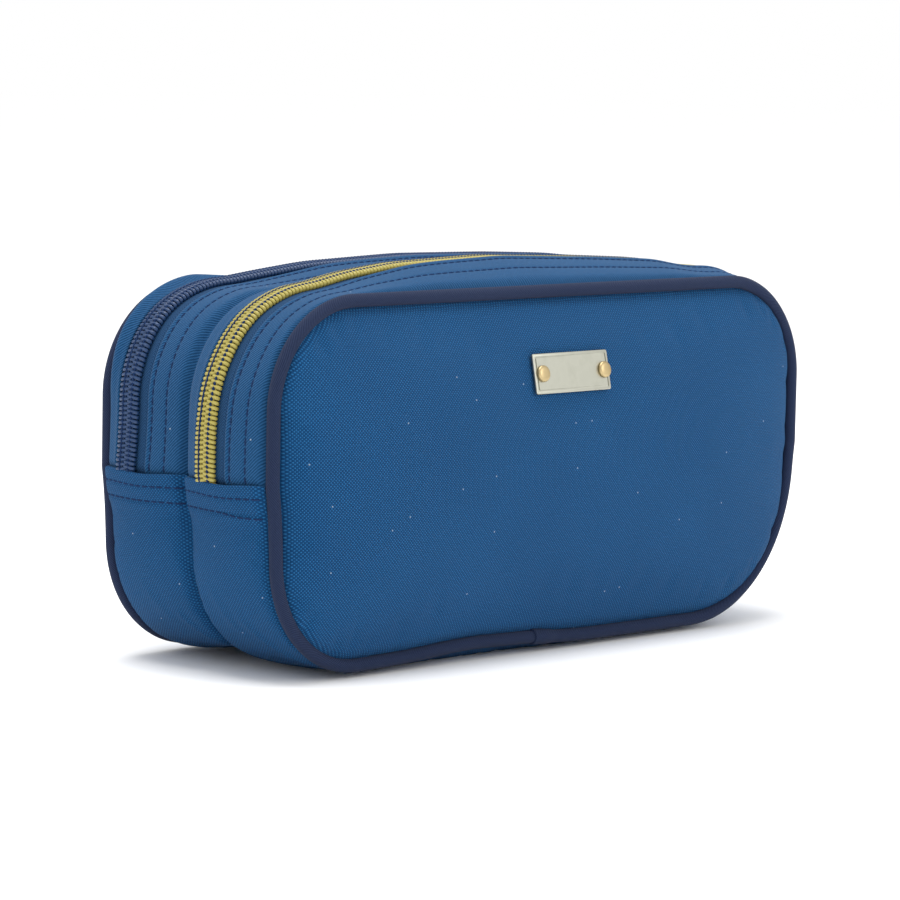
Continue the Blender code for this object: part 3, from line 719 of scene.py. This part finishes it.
def crease(along, across, ends, height, width):
    """A soft ridge in the cloth from one place to another."""
    (a, c), (b, d) = ends
    part = ((along - a) * (b - a) + (across - c) * (d - c)) / ((b - a) ** 2 + (d - c) ** 2)
    part = np.clip(part, 0, 1)
    away = np.hypot(along - a - (b - a) * part, across - c - (d - c) * part)
    return height * gauss(away, width) * np.sqrt(np.sin(math.pi * part).clip(0))


def gusset_span(front):
    """Where the gusset's two edges lie behind the compartment's front seam."""
    before, behind = (SEAM_CLOTH, CLEFT_CLOTH) if front else (CLEFT_CLOTH, SEAM_CLOTH)
    return before, COMPARTMENT - behind


# Ridges below the left hems: from and to (distance below the hem, distance behind the seam),
# then height and width.
CREASES = {
    "front": ((((0.036, 0.0170), (0.064, 0.0030)), 0.0008, 0.0012),
              (((0.028, 0.0250), (0.046, 0.0190)), 0.0004, 0.0014)),
    "rear": ((((0.038, 0.0100), (0.052, 0.0030)), 0.0006, 0.0010),
             (((0.030, 0.0200), (0.044, 0.0130)), 0.0003, 0.0014)),
}


def lower_gusset(prefix, seam, front):
    """The gusset from hem to hem under the case, settled, and its hems' stitches."""
    s = np.concatenate([RIGHT_HEM + np.linspace(0, 0.009, 16)[:-1],
                        np.linspace(RIGHT_HEM + 0.009, TOTAL - 0.009, 200),
                        TOTAL - np.linspace(0.009, 0, 16)[1:]])
    first, last = gusset_span(front)
    v = first + (last - first) * (ease(31, 0.8) + 1) / 2
    s_grid, v_grid = np.meshgrid(s, v)
    bulge = swelling(s_grid, prefix)
    to_hem = np.minimum(s_grid - RIGHT_HEM, TOTAL - s_grid)
    lift = HEM_LIFT / (1 + np.exp((to_hem - HEM_DEPTH) / 0.0012))
    rows = 0.00028 * sum(gauss(to_hem - row, 0.0005) for row in HEM_ROWS)
    level = swell(v_grid, bulge) - seam_dips(v_grid, front) + lift - rows
    down = TOTAL - s_grid
    for ends, height, width in CREASES[prefix]:
        level = level + crease(down, v_grid, ends, height, width)
    if front:
        level = level - 0.0011 * gauss(down - 0.062, 0.012) * gauss(v_grid - 0.010, 0.014)
    else:
        under = smooth(down, 0.050, 0.070) * (1 - smooth(down, 0.088, 0.110))
        level = level - 0.0038 * under * (1 - smooth(v_grid, 0.006, 0.033))
    wave = 0.00032 * np.sin(v_grid * 250 + 1.0) * np.exp(-to_hem / 0.005)
    grid = place(s_grid + np.where(down < 0.1, wave, -wave), v_grid, level, seam)
    pinned = np.zeros(s_grid.shape, bool)
    pinned[:2], pinned[-2:] = True, True
    pinned[:, to_hem[0] < 0.0080] = True
    grid = settle(grid, pinned, None, 2.0, 0.010, 0.0007)
    grid[..., 2] = np.maximum(grid[..., 2], FLOOR_GAP)
    made = thick_sheet(f"{prefix}_gusset_cloth", grid, s_grid, v_grid, GUSSET_CLOTH,
                       [CLOTH, LINING])
    attach(made, [f"{prefix}_gusset"])
    surface = Surface(grid, s, v)
    width = last - first - 0.0008
    for side, at in (("right", lambda d: RIGHT_HEM + d), ("left", lambda d: TOTAL - d)):
        for number, inset in enumerate(HEM_ROWS, 1):
            kink = 0.0011 if (front and side == "left" and number == 2) else 0.0

            def line(t, at=at, inset=inset, kink=kink):
                down = inset + kink / (1 + np.exp((t - 0.0105) / 0.0016))
                return at(down), first + 0.0004 + t

            attach(stitches(f"{prefix}_hem_{side}_stitches_{number}", surface, line, width))


def along_zip(count=270):
    """Arc lengths of the pieces above the hems, their ends tucked in."""
    return np.concatenate([np.linspace(-TUCK, 0.002, 10)[:-1],
                           np.linspace(0.002, RIGHT_HEM - 0.002, count),
                           np.linspace(RIGHT_HEM - 0.002, RIGHT_HEM + TUCK, 10)[1:]])


def tucked(s):
    """How far a piece lies under the hem that covers its end."""
    beyond = np.maximum(-s, s - RIGHT_HEM)
    return HEM_LIFT / (1 + np.exp(-(beyond + 0.0004) / 0.0006))


def smooth(value, start, stop):
    t = np.clip((value - start) / (stop - start), 0, 1)
    return t * t * (3 - 2 * t)


def standing(s, v, prefix):
    """How far the strips stand up: beside the chain along the top, and over the rear piping
    round the top left corner."""
    along = smooth(s, 0.072, 0.120) * (1 - smooth(s, 0.245, 0.285))
    across = np.where(v < CHAIN_MIDDLE, v / WIDE_STRIP_EDGE,
                      (COMPARTMENT - v) / (COMPARTMENT - NARROW_STRIP_EDGE))
    height = 0.0013 * along * np.clip(across, 0, 1) ** 1.6
    if prefix == "rear":
        corner = smooth(s, 0.016, 0.042) * (1 - smooth(s, 0.066, 0.092))
        ridge = smooth(v, 0.0262, 0.0304) * (1 - smooth(v, 0.0304, 0.0326))
        height = height + 0.0024 * corner * ridge
    return height


def strip(name, span, rows_at, folded, seam, prefix, node, flap):
    """One cloth strip beside the zip: rows_at are its stitch rows, folded its edge at the zip."""
    first, last = span
    v = first + (last - first) * (ease(21, 0.7) + 1) / 2
    extra = [row + d for row in rows_at for d in (-0.0006, -0.0003, 0.0, 0.0003, 0.0006)]
    v = np.unique(np.concatenate([v, [e for e in extra if first < e < last]]))
    s = along_zip()
    s_grid, v_grid = np.meshgrid(s, v)
    level = swell(v_grid, swelling(s_grid, prefix)) - tucked(s_grid)
    level = level - seam_dips(v_grid, prefix == "front")
    for row in rows_at:
        level = level - 0.00026 * gauss(v_grid - row, 0.00045)
    level = level + 0.00025 * gauss(v_grid - folded, 0.0009) + standing(s_grid, v_grid, prefix)
    grid = place(s_grid, v_grid, level, seam)
    made = thick_sheet(name, grid, s_grid, v_grid, STRIP_THICKNESS, [STRIP_CLOTH, LINING])
    attach(made, [node], flap=flap)
    surface = Surface(grid, s, v)
    for number, row in enumerate(rows_at, 1):
        piece = stitches(f"{name}_stitches_{number}", surface,
                         lambda t, row=row: (t + 0.0008, np.full_like(t, row)),
                         RIGHT_HEM - 0.0016)
        attach(piece, flap=flap)


def tape(name, span, covered, seam, prefix, nodes, flap):
    """One woven zip tape; covered is the edge of the strip that lies over it."""
    s_grid, v_grid = np.meshgrid(along_zip(), np.linspace(*span, 17))
    bulge = swelling(s_grid, prefix)
    under = (covered - v_grid) * (1 if covered < CHAIN_MIDDLE else -1)
    level = np.minimum(swell(v_grid, bulge), swell(CHAIN_MIDDLE, bulge)) - 0.0003
    level = level - 0.0010 / (1 + np.exp(-(under + 0.0005) / 0.00035)) - tucked(s_grid)
    made = thick_sheet(name, place(s_grid, v_grid, level, seam), s_grid, v_grid, 0.0005,
                       [TAPE_CLOTH])
    attach(made, nodes, flap=flap)


# -------- zips
def rounded(angle, power):
    """A cosine with flatter tops, for a power below 1."""
    return np.sign(np.cos(angle)) * np.abs(np.cos(angle)) ** power


def coil(name, seam, prefix, hand, look, nodes, flap):
    """Half of the chain: a nylon monofilament wound in flat loops round a filler cord, and the
    sewing thread that holds it. hand is -1 for the half nearer the front, 1 for the other."""
    turns = int((RIGHT_HEM + 0.008) / COIL_PITCH)
    per_turn = 14
    t = np.arange(turns * per_turn) / per_turn
    angle = 2 * math.pi * t
    loop_middle, half_wide, lifted, half_tall = 0.00152, 0.00184, 0.00060, 0.00056
    out = loop_middle + half_wide * rounded(angle, 0.62)
    up = lifted + half_tall * rounded(angle - math.pi / 2, 0.75)
    s = -0.004 + (t + (0.5 if hand > 0 else 0.0)) * COIL_PITCH
    base = chain_seat(s, prefix) - 0.0001 - tucked(s) * 0.6
    path = place(s, CHAIN_MIDDLE + hand * out, base + up, seam)
    ahead = place(s + 0.0004, CHAIN_MIDDLE + hand * out, base + up, seam)
    wire = 0.00046 + 0.00010 * np.clip(np.cos(angle), 0, 1)
    piece = tubes(name, path[None], (ahead - path)[None], wire, 7, look)
    attach(piece, nodes, flap=flap)

    s = np.arange(-0.003, RIGHT_HEM + 0.003, COIL_PITCH / 6)
    base = chain_seat(s, prefix) - tucked(s) * 0.6
    path = place(s[::6], CHAIN_MIDDLE + hand * 0.0017, base[::6] + 0.00055, seam)
    piece = tubes(f"{name}_core", path[None], BACKWARD, 0.00062, 8, look)
    attach(piece, flap=flap)
    up = 0.00124 + 0.00016 * np.cos(2 * math.pi * (s / COIL_PITCH + 0.25))
    up = up - 0.00030 * gauss(s - RIGHT_CORNER, 0.014)
    sway = 0.00010 * np.sin(2 * math.pi * s / COIL_PITCH)
    path = place(s, CHAIN_MIDDLE + hand * (0.00175 + sway), base + up, seam)
    piece = tubes(f"{name}_thread", path[None], BACKWARD, 0.00034, 8, THREAD)
    attach(piece, flap=flap)


# -------- pipings, bindings, divider
LAP_X = {"front": -0.002, "rear": -0.020}     # where the two ends of a piping meet
LAP_LENGTH = 0.0045


def piping(prefix, side, flap):
    """The covered cord round an outer panel, one end lapped over the other under the case."""
    lap = BASE_MIDDLE - LAP_X[prefix]
    end = lap + TOTAL + LAP_LENGTH
    s = np.linspace(lap, end, 620)
    radius = PIPING_R - 0.00030 * np.clip(1 - (s - lap) / 0.006, 0, 1)
    radius += 0.00036 * np.clip((s - (end - 0.010)) / 0.004, 0, 1)
    radius *= 0.35 + 0.65 * np.sqrt(np.clip((end - s) / 0.0004, 0, 1))
    path = place(s, 0.0, -PIPING_R, side * COMPARTMENT)
    piece = tubes(f"{prefix}_piping_cord", path[None], BACKWARD, radius, 18, PIPING_CLOTH)
    attach(piece, [f"{prefix}_piping_lower", f"{prefix}_piping_upper"], flap=flap)


def binding(name, start, seam, nodes, flap=None):
    """Woven tape sewn over a seam inside, all the way round."""
    v = start + BINDING_WIDTH * np.linspace(0, 1, 9)
    s_grid, v_grid = np.meshgrid(np.linspace(0, TOTAL, 301)[:-1], v)
    level = -0.0027 - 0.0004 * np.cos((v_grid - start) / BINDING_WIDTH * 2 * math.pi)
    made = thick_sheet(name, place(s_grid, v_grid, level, seam), s_grid, v_grid, 0.0009,
                       [TAPE_CLOTH], closed=True)
    attach(made, nodes, flap=flap)


def divider():
    x, z = inside_seam(0.0036, 61, np.linspace(0, 1, 25))
    ripple = 0.00015 * np.sin(x * 90) * np.sin(z * 130)
    grid = np.stack([CASE_X + tapered(x, z), CASE_Y - 0.0007 + ripple, z], -1)
    made = thick_sheet("divider_cloth", grid, x, z, PANEL_CLOTH, [LINING], outward=(0, -1, 0))
    attach(made, ["divider_panel"])


# -------- metal pieces
OUTWARD = Matrix(((0, 0, 1, 0), (1, 0, 0, 0), (0, 1, 0, 0), (0, 0, 0, 1)))     # across, along, out


def arc(middle, radius, first, last, steps=8):
    """Points round part of a circle, angles in degrees."""
    angles = np.radians(np.linspace(first, last, steps + 1))
    return [(middle[0] + radius * math.cos(a), middle[1] + radius * math.sin(a)) for a in angles]


def rounded_outline(corners, radius):
    """A closed outline through corners given counter-clockwise, each turned with a radius."""
    points = []
    for i, corner in enumerate(corners):
        here = Vector(corner)
        before = (Vector(corners[i - 1]) - here).normalized()
        after = (Vector(corners[(i + 1) % len(corners)]) - here).normalized()
        half_angle = before.angle(after) / 2
        reach = radius / math.tan(half_angle)
        centre = here + (before + after).normalized() * (radius / math.sin(half_angle))
        start, stop = here + before * reach - centre, here + after * reach - centre
        sweep = start.angle_signed(stop) * -1
        first = math.atan2(start.y, start.x)
        points += [(centre.x + radius * math.cos(first + sweep * k / 8),
                    centre.y + radius * math.sin(first + sweep * k / 8)) for k in range(9)]
    return points


def plate(name, loops, thickness, edge, frame_matrix):
    """A flat plate with rounded edges, from its outline and holes; its middle plane is the
    frame's own XY plane."""
    outline_curve = bpy.data.curves.new(name, "CURVE")
    outline_curve.dimensions = "2D"
    outline_curve.fill_mode = "BOTH"
    outline_curve.extrude = thickness / 2 - edge
    outline_curve.bevel_depth = edge
    outline_curve.bevel_resolution = 3
    outline_curve.offset = -edge
    for points in loops:
        spline = outline_curve.splines.new("POLY")
        spline.use_cyclic_u = True
        spline.points.add(len(points) - 1)
        for point, (x, y) in zip(spline.points, points):
            point.co = (x, y, 0.0, 1.0)
    drawn = bpy.data.objects.new(name, outline_curve)
    bpy.context.scene.collection.objects.link(drawn)
    bpy.context.view_layer.update()
    mesh = bpy.data.meshes.new_from_object(drawn.evaluated_get(
        bpy.context.evaluated_depsgraph_get()))
    bpy.data.objects.remove(drawn, do_unlink=True)
    bm = bmesh.new()
    bm.from_mesh(mesh)
    return placed(name, bm, mesh, frame_matrix, 35)


def placed(name, bm, mesh, frame_matrix, degrees):
    """An object from bmesh data, its doubled points merged, moved to where it belongs."""
    bmesh.ops.remove_doubles(bm, verts=bm.verts, dist=1e-7)
    bmesh.ops.recalc_face_normals(bm, faces=bm.faces)
    bmesh.ops.transform(bm, matrix=frame_matrix, verts=bm.verts)
    bm.to_mesh(mesh)
    bm.free()
    return linked(name, mesh, degrees)


def turned(name, profile, frame_matrix):
    """A piece turned about the frame's own Z axis, from (radius, height) points."""
    bm = bmesh.new()
    corners = [bm.verts.new((radius, 0.0, height)) for radius, height in profile]
    for first, second in zip(corners, corners[1:]):
        bm.edges.new((first, second))
    if profile[0][0] > 0:
        bm.edges.new((corners[-1], corners[0]))
    bmesh.ops.spin(bm, geom=bm.verts[:] + bm.edges[:], cent=(0, 0, 0), axis=(0, 0, 1),
                   angle=2 * math.pi, steps=40, use_duplicate=False)
    return placed(name, bm, bpy.data.meshes.new(name), frame_matrix, 30)


def combined(base, others, operation):
    """base with the other pieces joined to it or cut from it, as one closed mesh."""
    for other in others:
        step = base.modifiers.new("step", "BOOLEAN")
        step.operation, step.solver, step.object = operation, "EXACT", other
    bpy.context.view_layer.update()
    mesh = bpy.data.meshes.new_from_object(base.evaluated_get(
        bpy.context.evaluated_depsgraph_get()))
    base.modifiers.clear()
    base.data = mesh
    mesh.shade_smooth()
    mesh.set_sharp_from_angle(angle=math.radians(35))
    for other in others:
        bpy.data.objects.remove(other, do_unlink=True)
    return base


def made_of(piece, look):
    piece.data.materials.clear()
    piece.data.materials.append(look)
    return piece


def four_sided(low, high, half_low, half_high=None, middle=0.0):
    """Corners of an upright shape, counter-clockwise from the lower left."""
    half_high = half_low if half_high is None else half_high
    return [(middle - half_low, low), (middle + half_low, low), (middle + half_high, high),
            (middle - half_high, high)]


def slider(prefix):
    """Top and bottom plates, two flanges and the neck between the chain's two halves; then the
    bail and the pull. The nose, with its two mouths, points down the side of the case."""
    node, body_name = f"{prefix}_slider_body", f"{prefix}_slider"
    low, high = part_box(node)
    middle, size = box_middle(node), box_size(node)
    half_width, half_tail, tail_end = size.y / 2, size.y * 0.46, size.z / 2
    nose = -tail_end
    top_level, low_level = high.x, low.x
    top_thick, low_thick, mouth, lap = 0.0011, 0.0010, 0.0011, 0.0004

    def at(level):
        return Matrix.Translation((level, middle.y, middle.z)) @ OUTWARD

    left = [(-half_tail, tail_end), (-half_tail, nose + 0.0085), (-half_width, nose + 0.0050),
            (-half_width, nose + mouth), (-half_width * 0.60, nose)]
    outer = left + [(0.0, nose + mouth * 1.1)] + [(-x, y) for x, y in left[::-1]]
    body = plate(node + "_metal", [rounded_outline(outer, 0.0007)], top_thick, 0.00035,
                 at(top_level - top_thick / 2))
    narrow = rounded_outline(four_sided(nose + 0.0016, nose + 0.0090, 0.0036, 0.0032), 0.0012)
    under = plate("under", [narrow], low_thick, 0.0003, at(low_level + low_thick / 2))
    neck = rounded_outline(four_sided(nose + 0.0018, nose + 0.0040, 0.00034), 0.0003)
    gap = top_level - low_level - top_thick - low_thick + 2 * lap
    stem = plate("stem", [neck], gap, 0.00002, at(low_level + low_thick - lap + gap / 2))
    flange_height = 0.0015
    flanges = []
    for hand in (-1, 1):
        rim = rounded_outline(four_sided(nose + 0.0016, tail_end - 0.0016, 0.0003,
                                         middle=hand * (half_tail - 0.0004)), 0.00025)
        flanges.append(plate("flange", [rim], flange_height, 0.00008,
                             at(top_level - top_thick + lap - flange_height / 2)))
    combined(body, [under, stem, *flanges], "UNION")
    attach(made_of(body, ZIP_METAL), [node], body_name)

    pull_low, pull_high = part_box(f"{prefix}_pull_tab")
    pull_x = (pull_low.x + pull_high.x) / 2
    bail_low, bail_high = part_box(f"{prefix}_slider_bail")
    foot, crown, half_span = bail_low.x, bail_high.x - 0.0006, 0.0035
    turns = np.linspace(0, math.pi, 25)
    reach = -half_span * np.concatenate([[1, 1], np.cos(turns), [-1, -1]])
    knee = (foot + pull_x) / 2
    out = np.concatenate([[foot, knee], pull_x + (crown - pull_x) * np.sin(turns), [knee, foot]])
    path = np.stack([out, np.full(out.shape, middle.y), middle.z + reach], -1)
    thick = 0.00060 + 0.00012 * gauss(reach, 0.0016)
    bail = tubes(f"{prefix}_bail_metal", path[None], BACKWARD, thick, 16, ZIP_METAL)
    attach(bail, [f"{prefix}_slider_bail"], body_name)
    pull(prefix, Matrix.Translation((pull_x, middle.y, middle.z)) @ OUTWARD,
         pull_low.z - middle.z)


def pull(prefix, frame_matrix, low_end):
    """The long flat pull: a window for the bail, a hollow on each face and a hole in its round
    end."""
    top, window_low, waist, turn, thickness = 0.0007, -0.0049, -0.0070, 0.0006, 0.0013
    half_top, half_waist, half_end = 0.0027, 0.0022, 0.0036
    shoulder, round_end = half_top - turn, (0.0, low_end + half_end)
    outer = ([(-half_waist, waist)] + arc(round_end, half_end, 180, 360, 24)
             + [(half_waist, waist)]
             + arc((shoulder, window_low), turn, -20, 0, 3)
             + arc((shoulder, top - turn), turn, 0, 90)
             + arc((-shoulder, top - turn), turn, 90, 180)
             + arc((-shoulder, window_low), turn, 180, 200, 3))
    window = rounded_outline(four_sided(window_low, -top, 0.0014)[::-1], 0.0005)
    hole = arc(round_end, 0.0016, 0, 345, 23)
    tab = plate(f"{prefix}_pull_metal", [outer, window, hole], thickness, 0.00035, frame_matrix)
    field = [(-half_waist * 0.55, waist - 0.0012)]
    field += arc((0, low_end + half_end + 0.0045), half_waist * 0.62, 180, 360, 12)
    field += [(half_waist * 0.55, waist - 0.0012)]
    hollows = [plate("field", [field], 0.0003, 0.0001,
                     frame_matrix @ Matrix.Translation((0, 0, face * thickness / 2)))
               for face in (-1, 1)]
    combined(tab, hollows, "DIFFERENCE")
    attach(made_of(tab, ZIP_METAL), [f"{prefix}_pull_tab"], f"{prefix}_pull")


def badge():
    """The plate with a line engraved along its edge, its two rivets and the washers behind."""
    middle, size = box_middle("badge_plate"), box_size("badge_plate")
    x, z, step = middle.x - CASE_X, middle.z, 0.004
    rise = float(panel_face(x, z + step, PUFF) - panel_face(x, z - step, PUFF)) / (2 * step)
    lean, thickness = math.atan(rise), 0.0008
    height = (size.z - thickness * math.sin(abs(lean))) / math.cos(lean)
    facing = Matrix.Translation(middle) @ Matrix.Rotation(lean + math.pi / 2, 4, "X")

    def frame_line(inset):
        half_height = height / 2 - inset
        return rounded_outline(four_sided(-half_height, half_height, size.x / 2 - inset),
                               max(0.0007 - inset * 0.3, 0.0002))

    body = plate("badge_plate_metal", [frame_line(0)], thickness, 0.00022, facing)
    cutters = [plate("groove", [frame_line(0.00085), frame_line(0.00125)], 0.0005, 0.00004,
                     facing @ Matrix.Translation((0, 0, thickness / 2)))]
    spots = {}
    for hand in ("left", "right"):
        rivet_x = box_middle(f"badge_rivet_{hand}").x - middle.x
        spots[hand] = facing @ Matrix.Translation((rivet_x, 0, 0))
        cutters.append(turned("hole", [(0.0, -0.002), (0.0010, -0.002), (0.0010, 0.002),
                                       (0.0, 0.002)], spots[hand]))
    combined(body, cutters, "DIFFERENCE")
    pieces = [(body, BADGE_METAL, "badge_metal", "badge_plate")]
    seat = thickness / 2 + 0.0001
    for hand, spot in spots.items():
        dome = [(0.0024 * math.sin(a) ** 0.60, seat + 0.0002 + 0.0009 * math.cos(a) ** 0.65)
                for a in np.radians(np.linspace(0, 90, 14))]
        shank = [(0.00236, seat), (0.0008, seat), (0.0008, -0.0044), (0.0, -0.0044)]
        rivet = turned(f"badge_rivet_{hand}_brass", dome + shank, spot)
        pieces.append((rivet, RIVET_METAL, "rivet_metal", f"badge_rivet_{hand}"))
        level = (spot.inverted() @ box_middle(f"badge_washer_{hand}")).z
        ring = [(radius, level + offset) for radius, offset in (
            (0.0011, -0.0003), (0.0022, -0.0003), (0.0024, -0.0001), (0.0024, 0.0001),
            (0.0022, 0.0003), (0.0011, 0.0003))]
        washer = turned(f"badge_washer_{hand}_brass", ring, spot)
        pieces.append((washer, RIVET_METAL, "rivet_metal", f"badge_washer_{hand}"))
    # Each piece gets its material, the part it stands for is hidden, and its place is baked in.
    for piece, look, slot, node in pieces:
        made_of(piece, look)
        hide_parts(node)
        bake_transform(piece)


# -------- assembly
def compartment(prefix, seam, side, look):
    front, flap = side < 0, f"{prefix}_flap"
    outer_panel(prefix, side, flap)
    lower_gusset(prefix, seam, front)
    # The piece nearer the front comes first: it is the outer one in front, the inner one behind.
    halves = (("outer", -1, flap), ("inner", 1, None)) if front else (
        ("inner", -1, None), ("outer", 1, flap))

    def stands_for(which, kind):
        ends = [f"{prefix}_end_{kind}"] if which == "outer" else []
        return [f"{prefix}_{which}_{kind}", *ends]

    first, last = gusset_span(front)
    for (which, hand, bends), span, rows in zip(
            halves, ((first, WIDE_STRIP_EDGE), (NARROW_STRIP_EDGE, last)), (STRIP_ROWS, ())):
        strip(f"{prefix}_{which}_strip_cloth", span, rows, span[hand < 0], seam, prefix,
              f"{prefix}_{which}_strip", bends)
    for (which, hand, bends), edge, covered in zip(
            halves, TAPE_EDGES, (WIDE_STRIP_EDGE, NARROW_STRIP_EDGE)):
        span = sorted((edge, CHAIN_MIDDLE + hand * TAPE_GAP))
        tape(f"{prefix}_{which}_tape_cloth", span, covered, seam, prefix,
             stands_for(which, "tape"), bends)
    for which, hand, bends in halves:
        coil(f"{prefix}_{which}_coil_loops", seam, prefix, hand, look,
             stands_for(which, "coil"), bends)
    piping(prefix, side, flap)
    starts = [0.0022, COMPARTMENT - 0.0010 - BINDING_WIDTH]
    if not front:
        starts = [COMPARTMENT - BINDING_WIDTH - start for start in starts]
    binding(f"{prefix}_panel_binding", starts[0], seam,
            [f"{prefix}_binding_lower", f"{prefix}_binding_upper"], flap)
    binding(f"{prefix}_middle_binding", starts[1], seam, [f"{prefix}_divider_binding"])
    slider(prefix)


compartment("front", -COMPARTMENT, -1, YELLOW_COIL)
compartment("rear", 0.0, 1, NAVY_COIL)
divider()
badge()

# -------- floor, light and camera
scene = bpy.context.scene
scene.view_settings.view_transform = "Standard"
floor_mesh = bpy.data.meshes.new("floor")
floor_mesh.from_pydata([(-6, -6, 0), (6, -6, 0), (6, 6, 0), (-6, 6, 0)], [], [(0, 1, 2, 3)])
floor = bpy.data.objects.new("floor", floor_mesh)
scene.collection.objects.link(floor)
floor_mesh.materials.append(Look("Pale_floor", (1.0, 1.0, 1.0), 1.0, gloss=0.0).material)

world = bpy.data.worlds.new("studio")
scene.world = world
world.use_nodes = True
background = world.node_tree.nodes["Background"]
background.inputs["Color"].default_value = (1.0, 1.0, 1.0, 1.0)
background.inputs["Strength"].default_value = 1.0


def softbox(name, location, aim, size, power):
    light = bpy.data.lights.new(name, "AREA")
    light.shape = "DISK"
    light.size = size
    light.energy = power
    made = bpy.data.objects.new(name, light)
    made.location = location
    made.rotation_euler = (Vector(aim) - Vector(location)).to_track_quat("-Z", "Y").to_euler()
    scene.collection.objects.link(made)


softbox("overhead", (-0.1, 0.1, 1.3), (0, 0, 0.05), 1.0, 14.0)
softbox("front_fill", (0.6, -1.5, 0.7), (0, 0, 0.05), 0.9, 6.0)

# The camera looks at AIM from the front left, a little from above.
AIM, DISTANCE = (CASE_X - 0.0058, CASE_Y, 0.0559), 1.180
AZIMUTH, ELEVATION, ROLL = math.radians(-45.4), math.radians(6.1), math.radians(1.09)
camera_data = bpy.data.cameras.new("camera")
camera_data.lens = 160.8
camera_data.sensor_width = 36.0
camera_data.clip_start = 0.05
camera = bpy.data.objects.new("camera", camera_data)
scene.collection.objects.link(camera)
camera.matrix_world = (Matrix.Translation(AIM) @ Matrix.Rotation(AZIMUTH, 4, "Z")
                       @ Matrix.Rotation(math.pi / 2 - ELEVATION, 4, "X")
                       @ Matrix.Rotation(ROLL, 4, "Z") @ Matrix.Translation((0, 0, DISTANCE)))
scene.camera = camera
